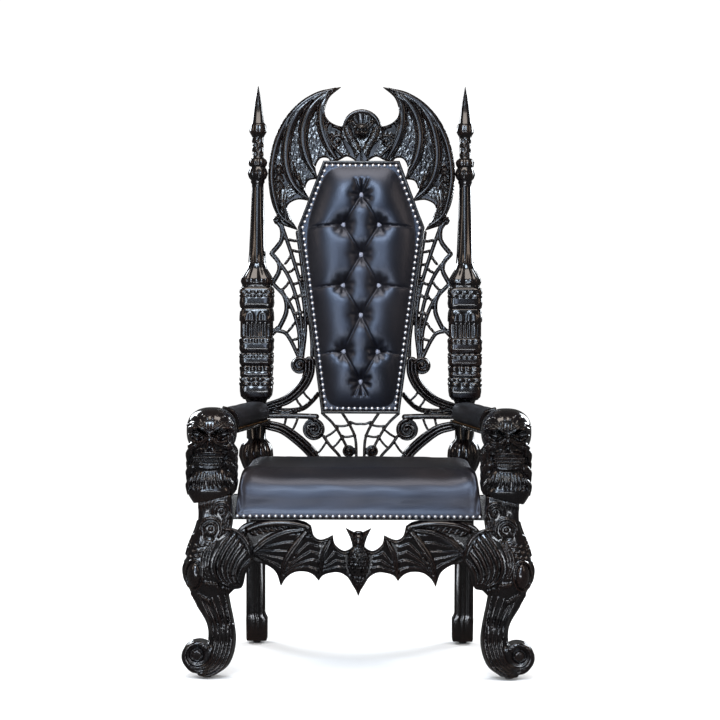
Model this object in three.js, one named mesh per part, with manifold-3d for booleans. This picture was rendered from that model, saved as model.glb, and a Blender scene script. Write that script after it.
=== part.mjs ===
// Carved high-backed throne: coffin-shaped buttoned back, bat crest, web panels, skull arms, bat apron.
// Millimetres. The front faces -Y, up is +Z, and "left" is the viewer's left (-X).
// The origin is the middle of the base, on the floor.

import * as THREE from 'three';
import { mergeVertices } from 'three/addons/utils/BufferGeometryUtils.js';
import Module from 'manifold-3d';

const wasm = await Module();
wasm.setup();

// Driving dimensions
const DEPTH = 757;                        // whole depth, front of the legs to the rake of the posts
const GAP = 0.3;                          // clearance left between neighbouring pieces
const SLIVER = 0.9;                       // finest step kept where forms run into each other
const REACH = 400;                        // half size of a block that is wider than the throne
const RAKE = THREE.MathUtils.degToRad(4); // lean of everything above the back's foot
const BACK = { y: 660, z: 568 };          // foot of the raked plane, y measured from the front
const SEAT = { half: 347, front: 38, rear: 606, tongue: 638, tongueHalf: 262 };
const SEAT_Z = { bottom: 445, hem: 453, wall: 520, turn: 541, edge: 556, shoulder: 572, crown: 588 };
const RAIL = { bottom: 443, top: 512, thick: 38, skirt: 12, front: 52, rear: 630 };
const BACK_RAIL = { front: 643, rear: 677, top: 559.6 };
const COFFIN = { top: 118, shoulder: 196, foot: 120.5, tTop: 921.5, tShoulder: 715, tFoot: 140.5 };
const FRAME = { width: 34, back: 14, front: -14, lip: -21, lipWidth: 7 };
const PAD = { inset: 9, seatY: -14.3, crown: -52 };
const TUFT = { mouth: 30, floor: 9, depth: 20, sink: 18.5 };
const POST_X = 321;
const LEG = { x: 401, y: 53, inner: 352, outer: 450 };
const FOOT_LIFT = 8;                      // height of the floor glides
const ARM = { bottom: 678, rail: 14, top: 752, width: 78 };
const ARM_LINE = { frontY: 172, rearY: 626, frontX: 388, rearX: 319, railRear: 650, lap: 6 };

const LACQUER = { color: 0x0b0908, roughness: 0.16, metalness: 0.0 };
const LEATHER = { color: 0x0c0c10, roughness: 0.34, metalness: 0.0 };
const BUTTON = { color: 0x5a5d68, roughness: 0.4, metalness: 0.0 };
const GLIDE = { color: 0x111111, roughness: 0.6, metalness: 0.0 };

const throne = new THREE.Group();
throne.position.y = -DEPTH / 2;

const raked = new THREE.Group();
raked.position.set(0, BACK.y, BACK.z);
raked.rotation.x = -RAKE;
throne.add(raked);

// Makes a geometry from vertex triples and faces given as loops of indices
function geometryOf(points, faces) {
  const triangles = faces.flatMap((f) => f.slice(2).flatMap((_, i) => [f[0], f[i + 1], f[i + 2]]));
  const geometry = new THREE.BufferGeometry();
  geometry.setAttribute('position', new THREE.Float32BufferAttribute(points.flat(), 3));
  geometry.setIndex(triangles);
  return geometry;
}

// Turns a closed geometry into a solid that can be joined and cut
function solidOf(geometry) {
  const bare = geometry.clone();
  bare.deleteAttribute('normal');
  bare.deleteAttribute('uv');
  const merged = mergeVertices(bare, 1e-4);
  const mesh = new wasm.Mesh({
    numProp: 3,
    vertProperties: new Float32Array(merged.attributes.position.array),
    triVerts: new Uint32Array(merged.index.array),
  });
  return new wasm.Manifold(mesh);
}

function geometryFrom(solid) {
  const mesh = solid.getMesh();
  const geometry = new THREE.BufferGeometry();
  geometry.setAttribute('position', new THREE.BufferAttribute(new Float32Array(mesh.vertProperties), 3));
  geometry.setIndex(new THREE.BufferAttribute(new Uint32Array(mesh.triVerts), 1));
  geometry.computeVertexNormals();
  return geometry;
}

// A closed body through rings that have the same number of points
function loft(rings) {
  const n = rings[0].length;
  const faces = [];
  for (let i = 0; i < rings.length - 1; i += 1) {
    for (let k = 0; k < n; k += 1) {
      const next = (k + 1) % n;
      faces.push([i * n + k, i * n + next, (i + 1) * n + next, (i + 1) * n + k]);
    }
  }
  const corners = [...Array(n).keys()];
  faces.push([...corners].reverse(), corners.map((k) => (rings.length - 1) * n + k));
  const points = rings.flat();
  const solid = solidOf(geometryOf(points, faces));
  return solid.volume() > 0 ? solid : solidOf(geometryOf(points, faces.map((f) => [...f].reverse())));
}

// Fuses solids into one, without the slivers that their seams leave
function join(solids) {
  return solids.reduce((whole, solid) => whole.add(solid)).simplify(SLIVER);
}

function cut(solid, tools) {
  return tools.reduce((whole, tool) => whole.subtract(tool), solid);
}

function addPiece(parent, name, solid, look) {
  const material = new THREE.MeshStandardMaterial(look);
  const mesh = new THREE.Mesh(geometryFrom(solid), material);
  mesh.name = name;
  parent.add(mesh);
  return mesh;
}

function placed(geometry, x, y, z, turnX, turnY = 0) {
  return geometry.rotateX(turnX).rotateY(turnY).translate(x, y, z);
}

function box(x0, x1, y0, y1, z0, z1) {
  const geometry = new THREE.BoxGeometry(x1 - x0, y1 - y0, z1 - z0);
  return solidOf(geometry.translate((x0 + x1) / 2, (y0 + y1) / 2, (z0 + z1) / 2));
}

function ellipsoid(x, y, z, rx, ry, rz, across = 10, down = 6, turnY = 0) {
  const geometry = new THREE.SphereGeometry(1, across, down).rotateX(Math.PI / 2).scale(rx, ry, rz);
  return solidOf(placed(geometry, x, y, z, 0, turnY));
}

function disc(x, z, radius, y0, y1, sides = 20) {
  const geometry = new THREE.CylinderGeometry(radius, radius, y1 - y0, sides);
  return solidOf(geometry.translate(x, (y0 + y1) / 2, z));
}

// Mirrors a solid across the middle plane
function mirrored(solid) {
  return solid.mirror([1, 0, 0]);
}

// Samples a smooth line through [x, z] knots
function smooth(knots, steps) {
  const points = knots.map(([x, z]) => new THREE.Vector3(x, 0, z));
  const curve = new THREE.CatmullRomCurve3(points, false, 'centripetal');
  return curve.getPoints(steps).map((p) => [p.x, p.z]);
}

// A flat board standing in the x-z plane, from an outline of [x, z] points
function board(outline, y0, y1) {
  const shape = new THREE.Shape(outline.map(([x, z]) => new THREE.Vector2(x, z)));
  const geometry = new THREE.ExtrudeGeometry(shape, { depth: y1 - y0, bevelEnabled: false });
  return solidOf(geometry.rotateX(Math.PI / 2).translate(0, y1, 0));
}

// A bar that follows a line in the x-z plane: flat behind at y1, in front at y0 a ridge or a narrower flat
function bar(line, widthAt, y0, y1, flat = 0) {
  const front = flat > 0 ? [[-flat, y0], [flat, y0]] : [[0, y0]];
  const section = [[-1, y1], ...front, [1, y1]];
  const last = line.length - 1;
  const rings = line.map(([x, z], i) => {
    const [ax, az] = line[Math.max(i - 1, 0)];
    const [bx, bz] = line[Math.min(i + 1, last)];
    const length = Math.hypot(bx - ax, bz - az);
    const half = (typeof widthAt === 'number' ? widthAt : widthAt(i / last)) / 2;
    const [nx, nz] = [-(bz - az) / length * half, (bx - ax) / length * half];
    return section.map(([side, y]) => [x + nx * side, y, z + nz * side]);
  });
  return loft(rings);
}

function curvedBar(knots, steps, width, y0, y1, ridge) {
  return bar(smooth(knots, steps), width, y0, y1, ridge);
}

// Spiral line, from its outer end inwards
function spiral(x, z, rOut, rIn, startAngle, turn, steps) {
  return [...Array(steps + 1).keys()].map((i) => {
    const t = i / steps;
    const r = rOut + (rIn - rOut) * t;
    const a = startAngle + turn * t;
    return [x + r * Math.cos(a), z + r * Math.sin(a)];
  });
}

// A body stacked from horizontal rings. Each ring: z, centre x, y, half width, half depth, squareness, tilt
function stacked(rings, sides, lobes = 0) {
  return loft(rings.map(({ z, x, y, a, b, n = 2, tilt = 0, lobe = 0 }) => {
    const ring = [...Array(sides).keys()].map((k) => {
      const angle = ((k + 0.5) / sides) * 2 * Math.PI;
      const [c, s] = [Math.cos(angle), Math.sin(angle)];
      const reach = (1 + lobe * Math.cos(lobes * angle)) / (Math.abs(c) ** n + Math.abs(s) ** n) ** (1 / n);
      return [reach * c, reach * s];
    });
    const fit = 1 / Math.max(...ring.map(([c]) => Math.abs(c)));
    return ring.map(([c, s]) => [x + a * c * fit, y + b * s * fit, z + tilt * a * c * fit]);
  }));
}

// The coffin outline, moved inwards by a distance, as six [x, z] corners
function coffinOutline(inset) {
  const { foot, tFoot, shoulder, tShoulder, top, tTop } = COFFIN;
  const right = [[foot, tFoot], [shoulder, tShoulder], [top, tTop]];
  const corners = [...right, ...[...right].reverse().map(([x, z]) => [-x, z])];
  return corners.map((corner, i) => {
    const before = corners[(i + 5) % 6];
    const after = corners[(i + 1) % 6];
    const unit = (p, q) => {
      const length = Math.hypot(q[0] - p[0], q[1] - p[1]);
      return [(q[0] - p[0]) / length, (q[1] - p[1]) / length];
    };
    const u = unit(before, corner);
    const v = unit(corner, after);
    const reach = inset / (1 + u[0] * v[0] + u[1] * v[1]);
    return [corner[0] - (u[1] + v[1]) * reach, corner[1] + (u[0] + v[0]) * reach];
  });
}

// A body of coffin-shaped loops, each level an inset and a y. As a ring, the last loop closes on the first
function coffinBody(levels) {
  return loft(levels.map(([inset, y]) => coffinOutline(inset).map(([x, z]) => [x, y, z])));
}

const coffinKeepOut = coffinBody([[-GAP, -REACH], [-GAP, REACH]]);

// Back posts: spike, turned bulbs, tapering column, leaf cap, carved blocks, gadrooned bulb, square leg
const POST_PROFILE = [
  // height on the rake, radius, squareness
  [1156, 1.5, 2], [1041, 15.6, 2], [1036, 24, 2], [1018, 26.4, 2], [993, 16, 2], [933, 15, 2],
  [928, 27, 2], [903, 24, 2], [883, 30, 2], [846, 18.5, 2], [598, 27.5, 2], [548, 48.5, 3], [532, 46, 4],
  [527, 52, 5], [478, 48, 5], [466, 52.5, 5], [461, 49, 5], [376, 49, 5], [370, 52.5, 5], [331, 52.5, 5],
  [325, 49, 5], [319, 51.6, 5], [288, 50, 5], [205, 50, 4], [183, 32, 2], [62, 29.5, 2], [48, 44, 2],
  [10, 51, 2], [-22, 40, 2], [-42, 30, 3],
];
const LEG_PROFILE = [
  // height over the floor, inner half width, outer half width, half depth
  [520, 29, 29, 29], [90, 29, 29, 29], [82, 36, 29, 31], [FOOT_LIFT + GAP, 34, 27, 29],
];

function postAt(height) {
  const along = height >= 0;
  const y = along ? height * Math.sin(RAKE) : -height * 7 / BACK.z;
  const z = along ? height * Math.cos(RAKE) : height;
  return { y: BACK.y + y, z: BACK.z + z };
}

function postSolid(grow = 0) {
  const upper = POST_PROFILE.map(([h, r, n]) => ({ ...postAt(h), x: POST_X, a: r + grow, b: r + grow, n }));
  const lower = LEG_PROFILE.map(([h, inner, outer, deep]) => {
    const { y } = postAt(Math.min(h - BACK.z, 0));
    const [x, a] = [POST_X + (outer - inner) / 2, (inner + outer) / 2];
    return { z: h, y, x, a: a + grow, b: deep + grow, n: 8 };
  });
  return stacked([...upper, ...lower].reverse(), 12);
}

// Turns a solid given in the throne's frame into the raked plane's frame
function toRaked(solid) {
  return solid.translate([0, -BACK.y, -BACK.z]).rotate([THREE.MathUtils.radToDeg(RAKE), 0, 0]);
}

const postRight = postSolid();
addPiece(throne, 'back_post_right', postRight, LACQUER);
addPiece(throne, 'back_post_left', mirrored(postRight), LACQUER);
const postClear = postSolid(GAP + 0.1);
const postClears = [postClear, mirrored(postClear)];
const postKeepOuts = postClears.map(toRaked);

// Coffin frame, its rear board, the buttoned pad and the buttons
function coffinFrame() {
  const { width, back, front, lip, lipWidth } = FRAME;
  const outside = coffinBody([[2, back], [0, back - 3], [0, lip + 2], [2, lip]]);
  const tray = coffinBody([[lipWidth - 2, lip - 1], [lipWidth, front]]);
  return outside.subtract(tray).subtract(coffinBody([[width, back + 1], [width, front - 1]]));
}

const TUFTS = [
  [0, 815], [-55, 722], [55, 722], [0, 630], [-55, 535], [55, 535], [0, 443], [-52, 331], [52, 331], [0, 238],
];

function backPad() {
  const crown = coffinBody([
    [PAD.inset, PAD.seatY], [PAD.inset, -19], [13, -27], [24, -37], [44, -46], [72, PAD.crown],
  ]);
  const dips = TUFTS.map(([x, z]) => {
    const cone = new THREE.CylinderGeometry(TUFT.floor, TUFT.mouth, TUFT.depth, 6);
    return solidOf(cone.translate(x, PAD.crown + TUFT.sink - TUFT.depth / 2, z));
  });
  return cut(crown, dips);
}

function buttonSolid([x, z]) {
  const profile = [[0, 0], [8, 0], [6.5, 5], [0, 7]].map(([r, h]) => new THREE.Vector2(r, h));
  const geometry = new THREE.LatheGeometry(profile, 8).rotateX(Math.PI);
  return solidOf(geometry).translate([x, PAD.crown + TUFT.sink - GAP, z]);
}

addPiece(raked, 'coffin_frame', coffinFrame(), LACQUER);
const boardInset = FRAME.width + GAP;
addPiece(raked, 'back_board', coffinBody([[boardInset, -2], [boardInset, FRAME.front]]), LACQUER);
addPiece(raked, 'back_pad', backPad(), LEATHER);
TUFTS.forEach((spot, i) => {
  addPiece(raked, `back_button_${String(i + 1).padStart(2, '0')}`, buttonSolid(spot), BUTTON);
});

// Crest: a pair of spread bat wings on either side of a round medallion with a bat's head
const WING_OUTER = [
  [66, 1154], [140, 1138], [201, 1097], [250, 1035], [281, 950], [289, 872], [278, 793], [255, 739],
];
const WING_NOTCH = [[66, 1154], [103, 1120], [115, 1072], [102, 1047], [71, 1031], [40, 1031]];
const WING_RIBS = [
  [[87, 1140], [124, 1085], [121, 1015], [78, 926]],
  [[106, 1136], [166, 1072], [183, 990], [136, 868]],
  [[131, 1130], [206, 1064], [236, 945], [158, 800]],
  [[84, 1147], [190, 1094], [266, 968], [279, 872], [255, 760], [197, 712]],
];
const WING_SCALLOPS = [
  [[197, 708], [222, 752], [229, 785], [200, 803], [158, 799]],
  [[158, 799], [175, 834], [165, 862], [136, 868]],
  [[136, 868], [143, 905], [128, 932], [104, 932], [96, 918]],
  [[96, 918], [68, 928], [46, 938], [24, 928], [14, 918]],
];
const MEDALLION = { z: 1021, radius: 62 };

function crestHalf() {
  const outer = smooth(WING_OUTER, 11);
  const notch = smooth(WING_NOTCH, 7).reverse();
  const foot = [[240, 722], [197, 708]];
  const scallops = WING_SCALLOPS.flatMap((knots) => smooth(knots, 4).slice(1));
  const outline = [...notch, ...outer.slice(1), ...foot, ...scallops, [-0.5, 918], [-0.5, 1031]];
  const wing = board(outline, -4, 13);
  const ribs = WING_RIBS.map((knots) => curvedBar(knots, 4, (t) => 17 - 6 * t, -15, 4));
  return join([wing, ...ribs]);
}

function crestFace() {
  const { z, radius } = MEDALLION;
  const plate = disc(0, z, radius, -18, 13, 16).subtract(disc(0, z, radius - 9, -30, -9, 16));
  const head = ellipsoid(0, -16, z - 6, 19, 17, 20, 8, 6);
  const snout = ellipsoid(0, -30, z - 14, 8, 8, 7, 6, 4);
  const ear = solidOf(placed(new THREE.ConeGeometry(11, 40, 5), 27, -16, z + 16, Math.PI / 2, 0.75));
  const fur = curvedBar([[26, z - 30], [20, z - 60], [7, z - 94]], 3, (t) => 30 - 16 * t, -20, 4, 0.4);
  return join([plate, head, snout, ear, mirrored(ear), fur, mirrored(fur)]);
}

const wingRight = crestHalf();
const crest = cut(join([wingRight, mirrored(wingRight), crestFace()]), [coffinKeepOut, ...postKeepOuts]);
addPiece(raked, 'crest', crest, LACQUER);

// Web panels between the coffin and the posts
const WEB = { front: -8, back: 9, rib: 9, rungWidth: 6, foot: 316 };
const WEB_RIBS = [
  [[150, 318], [151, 373], [171, 511], [190, 655], [197, 700]],
  [[180, 314], [171, 411], [181, 514], [210, 618], [246, 722]],
  [[185, 318], [181, 376], [193, 473], [227, 569], [277, 635]],
  [[187, 318], [193, 404], [224, 487], [275, 545]],
  [[192, 316], [218, 369], [235, 390], [275, 398]],
];
const WEB_EDGE = [
  [[262, 738], [246, 712], [247, 676], [277, 635]],
  [[277, 635], [255, 607], [253, 583], [272, 545]],
  [[245, 520], [231, 487], [231, 452], [254, 400]],
];
const WEB_RUNGS = [
  [[190, 676], [222, 678]], [[184, 643], [212, 645]], [[178, 604], [203, 604]], [[170, 554], [192, 554]],
  [[166, 505], [184, 503]], [[219, 628], [234, 605]], [[206, 591], [222, 578]], [[191, 549], [207, 541]],
  [[186, 508], [205, 497]], [[182, 453], [199, 449]], [[221, 551], [240, 526]], [[205, 509], [223, 488]],
  [[191, 456], [206, 448]], [[203, 424], [225, 394]], [[191, 376], [206, 369]],
];

function webPanel() {
  const ribs = WEB_RIBS.map((knots) => curvedBar(knots, 4, WEB.rib, WEB.front, WEB.back, 1));
  const edge = WEB_EDGE.map((knots) => curvedBar(knots, 3, WEB.rib - 1, WEB.front, WEB.back, 1));
  const rungs = WEB_RUNGS.map(([a, b]) => bar([a, b], WEB.rungWidth, WEB.front + 4, WEB.back, 1));
  const tie = bar([[256, 404], [276, 384]], 14, WEB.front, WEB.back, 1);
  return join([...ribs, ...edge, ...rungs, tie]);
}

const boundary = box(-REACH, REACH, -REACH, REACH, WEB.foot, 3 * REACH);
const webRight = webPanel().intersect(boundary).subtract(coffinKeepOut).subtract(postKeepOuts[0]);
const webSolid = webRight.decompose().sort((a, b) => b.volume() - a.volume())[0];
addPiece(raked, 'side_web_right', webSolid, LACQUER);
addPiece(raked, 'side_web_left', mirrored(webSolid), LACQUER);

// Scrollwork under the coffin, down to the rail behind the seat
const SCROLL_BANDS = [
  // knots, steps, width at the start and at the end
  [[[158, 300], [160, 265], [180, 225], [225, 184], [290, 160]], 5, 34, 24],
  [[[132, 200], [150, 179], [175, 158], [204, 150], [288, 150]], 4, 15, 18],
  [[[288, 133], [200, 133], [136, 131]], 2, 17, 17],
  [[[284, 104], [240, 92], [187, 55], [146, 14], [130, -12]], 4, 30, 34],
  [[[113, 70], [95, 44], [66, 12], [52, -12]], 3, 10, 9],
  [[[118, 142], [84, 109], [60, 72], [40, 34]], 3, 9, 9],
  [[[56, 142], [35, 109], [16, 66], [12, -12]], 3, 9, 9],
];
const SCROLL_RUNGS = [
  [[178, 210], [158, 186]], [[200, 190], [185, 166]], [[228, 132], [238, 96]], [[192, 130], [208, 92]],
  [[107, 50], [136, 14]], [[112, 66], [70, 96]], [[86, 34], [54, 72]], [[78, 103], [30, 107]],
  [[60, 70], [16, 74]], [[31, 115], [-1, 109]],
];

const VOLUTES = [
  // centre x and height, outer radius, eye radius, start angle, turn, steps
  [189, 290, 22, 9, 2.8, -8, 7], [144, 92, 32, 11, 1.6, 8.5, 8], [36, 25, 15, 6, 0.9, -7, 5],
];

function volute([x, z, radius, eye, start, turn, steps]) {
  return bar(spiral(x, z, radius - 2, eye - 5, start, turn, steps), radius * 0.66, -16, 11);
}

function scrollHalf() {
  const bands = SCROLL_BANDS.map(([knots, steps, from, to]) => {
    return curvedBar(knots, steps, (t) => from + (to - from) * t, -11, 11, 1);
  });
  const rungs = SCROLL_RUNGS.map(([a, b]) => bar([a, b], 8, -8, 11, 1));
  return join([...bands, ...rungs, ...VOLUTES.map(volute)]);
}

const scrollLimit = box(-REACH, REACH, -REACH, REACH, -7, WEB.foot - GAP);
const scrollRight = scrollHalf();
const scrollFoot = box(-SEAT.tongueHalf, SEAT.tongueHalf, -11, 11, -7, 4);
const scrollWork = join([scrollRight, mirrored(scrollRight), scrollFoot]).intersect(scrollLimit);
addPiece(raked, 'lower_web', cut(scrollWork, [coffinKeepOut, ...postKeepOuts]), LACQUER);

// Seat rails, and the rail that carries the scrollwork between the posts
const railEnd = LEG.inner - 2 * GAP;
const railBack = RAIL.front + RAIL.thick;
const sideOuter = SEAT.half - RAIL.skirt - GAP;
const sideInner = sideOuter - RAIL.thick;
const backRail = box(-POST_X, POST_X, BACK_RAIL.front, BACK_RAIL.rear, RAIL.bottom, BACK_RAIL.top);
const sideRail = box(sideInner, sideOuter, railBack + GAP, RAIL.rear, RAIL.bottom, RAIL.top);
const rails = {
  seat_rail_front: box(-railEnd, railEnd, RAIL.front, railBack, RAIL.bottom, RAIL.top),
  seat_rail_right: sideRail,
  seat_rail_left: mirrored(sideRail),
  seat_rail_back: cut(backRail, postClears).decompose()[0],
};
Object.entries(rails).forEach(([name, solid]) => addPiece(throne, name, solid, LACQUER));

// Seat cushion: leather over padding, turned down over the rails
function seatPad() {
  const plan = (inset, z) => {
    const [w, f, r] = [SEAT.half - inset, SEAT.front + inset, SEAT.rear - inset];
    const [tw, tr] = [SEAT.tongueHalf - inset * 0.5, SEAT.tongue - inset * 0.4];
    const right = [[w, f], [w, r], [tw, r], [tw, tr]];
    const left = right.map(([x, y]) => [-x, y]).reverse();
    return [left[3], ...right, ...left.slice(0, 3)].map(([x, y]) => [x, y, z]);
  };
  const levels = [
    [2, SEAT_Z.bottom], [0, SEAT_Z.hem], [0, SEAT_Z.wall], [6, SEAT_Z.turn], [22, SEAT_Z.edge],
    [60, SEAT_Z.shoulder], [130, SEAT_Z.crown],
  ];
  const points = levels.flatMap(([inset, z]) => plan(inset, z));
  const faces = [];
  for (let i = 0; i < levels.length - 1; i += 1) {
    for (let k = 0; k < 8; k += 1) {
      const next = (k + 1) % 8;
      faces.push([i * 8 + k, i * 8 + next, (i + 1) * 8 + next, (i + 1) * 8 + k]);
    }
  }
  const cap = (base) => [[0, 7, 2, 1], [7, 6, 3, 2], [6, 5, 4, 3]].map((f) => f.map((k) => base + k));
  faces.push(...cap(0));
  faces.push(...cap((levels.length - 1) * 8).map((f) => f.reverse()));
  const body = solidOf(geometryOf(points, faces));
  const inside = sideOuter + GAP;
  const [front, roof] = [RAIL.front - GAP, RAIL.top + GAP];
  const hollow = box(-inside, inside, front, RAIL.rear - 1, 0, roof);
  const ends = box(-railEnd - 2, railEnd + 2, front, railBack + GAP, 0, roof);
  return cut(body, [hollow, ends]);
}
addPiece(throne, 'seat_pad', seatPad(), LEATHER);

// Front legs: block, knee with leaf, ankle, scroll foot. Drawn for the right side, x outwards
const LEG_LEVELS = [
  // height, outer x, inner x, half depth, squareness
  [504, LEG.outer, LEG.inner, 45, 6], [438, LEG.outer, LEG.inner, 45, 6], [366, 476, 366, 48, 3],
  [321, 486, 372, 52, 2.4], [284, 487, 380, 54, 2.4], [256, 481, 376, 52, 2.4], [205, 453, 359, 45, 2.4],
  [148, 420, 346, 39, 2.6], [105, 417, 342, 39, 2.6], [60, 432, 350, 42, 2.6], [30, 440, 366, 42, 2.6],
  [FOOT_LIFT + GAP, 446, 396, 40, 2.6],
];
const LEG_TILT = 0.24;
const LEAF_EDGE = [[372, 424], [326, 404], [295, 360], [292, 328], [308, 304], [318, 276], [324, 246]];
const LEAF_ROOT = [[352, 236], [400, 262], [410, 400]];
const FOOT_SCROLL = { x: 439, z: 58, radius: 49.5 };
const LEAF_VEINS = [
  [[368, 414], [322, 388], [300, 356], [308, 322]],
  [[400, 396], [350, 372], [326, 338], [318, 300]],
  [[414, 366], [372, 338], [346, 304], [322, 262]],
  [[424, 332], [396, 298], [374, 270], [346, 240]],
];
const LEG_FLUTES = [
  [[452, 246], [428, 196], [398, 152], [392, 110]],
  [[424, 236], [404, 190], [378, 150], [368, 104]],
];

function legSolid() {
  const rings = LEG_LEVELS.map(([z, outer, inner, deep, n], i) => {
    const tilt = i === 0 ? -LEG_TILT : 0;
    return { z, x: (outer + inner) / 2, y: LEG.y, a: (outer - inner) / 2, b: deep, n, tilt };
  });
  const body = stacked([...rings].reverse(), 12);
  const { x, z, radius } = FOOT_SCROLL;
  const floor = box(300, 520, -20, 130, -60, FOOT_LIFT + GAP);
  const scroll = disc(x, z, radius, 14, 92, 14);
  const curl = bar(spiral(x + 2, z + 2, radius - 9, 12, -Math.PI * 0.5, Math.PI * 2.6, 8), 17, 2, 24);
  const leaf = board([...smooth(LEAF_EDGE, 7), ...LEAF_ROOT], 16, 39.5);
  const veins = LEAF_VEINS.map((knots) => curvedBar(knots, 3, (t) => 30 - 12 * t, 2, 24));
  const cabochon = ellipsoid(455, 6, 292, 21, 12, 31, 7, 5);
  const curls = [[415, 429, 19], [378, 476, 22]].map(([cx, cz, r]) => {
    return bar(spiral(cx, cz, r, 6, Math.PI * 0.2, Math.PI * 2, 6), 15, 0, 16);
  });
  const ridges = LEG_FLUTES.map((knots) => curvedBar(knots, 3, 18, 3, 26));
  return cut(join([body, scroll, curl, leaf, ...veins, cabochon, ...curls, ...ridges]), [floor]);
}

const leg = legSolid();
addPiece(throne, 'front_leg_right', leg, LACQUER);
addPiece(throne, 'front_leg_left', mirrored(leg), LACQUER);

// Skull arm fronts on a ruff of fur, right side
const SKULL = { x: 414, y: 86, z: 690 };
const ARM_FACE = ARM_LINE.frontY - ARM_LINE.lap; // upright joint between the skull and the arm behind it

function skullSolid() {
  const { x, y, z } = SKULL;
  const cranium = ellipsoid(x, y, z, 70, 84, 63, 12, 7);
  const face = stacked([
    { z: z - 108, x, y: 62, a: 42, b: 44, n: 3 }, { z: z - 92, x, y: 62, a: 50, b: 52, n: 3 },
    { z: z - 20, x, y: 72, a: 62, b: 64, n: 3 }, { z, x, y: 80, a: 58, b: 70, n: 2.4 },
  ], 12);
  const cheeks = [-1, 1].map((s) => ellipsoid(x + s * 46, 24, z - 34, 18, 17, 11, 6, 4, s * 0.3));
  const brows = [-1, 1].map((s) => ellipsoid(x + s * 34, 14, z + 6, 32, 14, 9, 6, 4, -s * 0.3));
  const sockets = [-1, 1].map((s) => ellipsoid(x + s * 36, 6, z - 13, 22, 17, 9, 6, 4, -s * 0.28));
  const nose = ellipsoid(x, 4, z - 38, 8, 14, 10, 6, 4);
  const teeth = stacked([z - 84, z - 62].map((level) => ({ z: level, x, y: 60, a: 47, b: 56, n: 3 })), 12);
  const mouth = box(x - 44, x + 44, -20, 14, z - 75, z - 72);
  const ruff = stacked([
    { z: 512, x: x - 10, y: 62, a: 50, b: 50, n: 4, tilt: -LEG_TILT },
    { z: 526, x: x - 4, y: 64, a: 66, b: 60, n: 3, tilt: -0.14 },
    { z: 552, x, y: 66, a: 70, b: 65, lobe: 0.06 }, { z: 574, x, y: 66, a: 66, b: 62, lobe: 0.06 },
    { z: 606, x, y: 70, a: 54, b: 56 },
  ], 14, 7);
  const whole = join([cranium, face, ...cheeks, ...brows, teeth, ruff]);
  const behind = box(0, 2 * REACH, ARM_FACE, REACH, 0, 2 * REACH);
  return cut(whole, [...sockets, nose, mouth, behind]);
}

// The plane on which the ruff stands, as a keep-out for everything under it
function ruffFloor() {
  const slope = Math.atan(LEG_TILT);
  const block = new THREE.BoxGeometry(300, 300, 200).translate(0, 0, -100).rotateY(slope);
  return solidOf(block.translate(LEG.x, 60, 504 + GAP));
}

const skull = skullSolid().subtract(ruffFloor());
addPiece(throne, 'arm_skull_right', skull, LACQUER);
addPiece(throne, 'arm_skull_left', mirrored(skull), LACQUER);

// Arms: a thin rail with a padded leather rest on it, spreading towards the front
function armPrism(z0, z1, crown, rear) {
  const { frontX, rearX, frontY, rearY } = ARM_LINE;
  const xAt = (y) => frontX + (rearX - frontX) * (y - frontY) / (rearY - frontY);
  const half = ARM.width / 2;
  const section = crown
    ? [[-half, z0], [half, z0], [half + 1, z0 + 14], [half - 6, z1 - 16], [half - 18, z1 - 4], [0, z1],
      [18 - half, z1 - 4], [6 - half, z1 - 16], [-half - 1, z0 + 14]]
    : [[-half, z0], [half, z0], [half, z1], [-half, z1]];
  return loft([ARM_FACE + GAP, rear].map((y) => section.map(([x, z]) => [xAt(y) + x, y, z])));
}

const railTop = ARM.bottom + ARM.rail;
const armRail = armPrism(ARM.bottom, railTop, false, ARM_LINE.railRear).subtract(postClear).decompose()[0];
const armPad = armPrism(railTop + GAP, ARM.top, true, ARM_LINE.rearY).subtract(postClear);
addPiece(throne, 'arm_rail_right', armRail, LACQUER);
addPiece(throne, 'arm_rail_left', mirrored(armRail), LACQUER);
addPiece(throne, 'arm_pad_right', armPad, LEATHER);
addPiece(throne, 'arm_pad_left', mirrored(armPad), LEATHER);

// Apron: a bat with spread wings under the front rail
const APRON = { top: RAIL.bottom - GAP, back: 64, front: 46, legInner: 284, legFace: 39.6 };
const APRON_TOP = [[348, 404], [322, 430], [280, 441], [232, 446], [186, 444], [150, 437], [133, 426]];
const APRON_NOTCHES = [
  [[133, 426], [124, 396], [108, 387], [90, 391], [72, 400]],
  [[72, 400], [66, 374], [42, 356], [26, 360], [14, 371]],
];
const APRON_LOWER = [
  [[348, 350], [318, 336], [286, 322], [262, 318], [232, 297], [217, 256]],
  [[217, 256], [202, 280], [178, 296], [144, 297], [125, 288], [111, 272]],
  [[111, 272], [98, 288], [56, 296], [32, 284], [18, 264], [0, 236]],
];
const APRON_RIBS = [
  [[140, 424], [186, 432], [236, 433], [290, 424], [340, 396]],
  [[141, 419], [178, 371], [206, 325], [216, 262]],
  [[141, 419], [210, 408], [256, 387], [301, 352]],
  [[76, 392], [101, 339], [110, 278]],
  [[141, 419], [108, 396], [76, 392]],
];
const APRON_PLEATS = [
  [[178, 390], [232, 364], [262, 330]],
  [[186, 362], [220, 340], [234, 304]],
  [[134, 398], [160, 352], [168, 302]],
  [[104, 356], [138, 334], [146, 304]],
  [[54, 356], [72, 330], [80, 300]],
];

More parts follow.
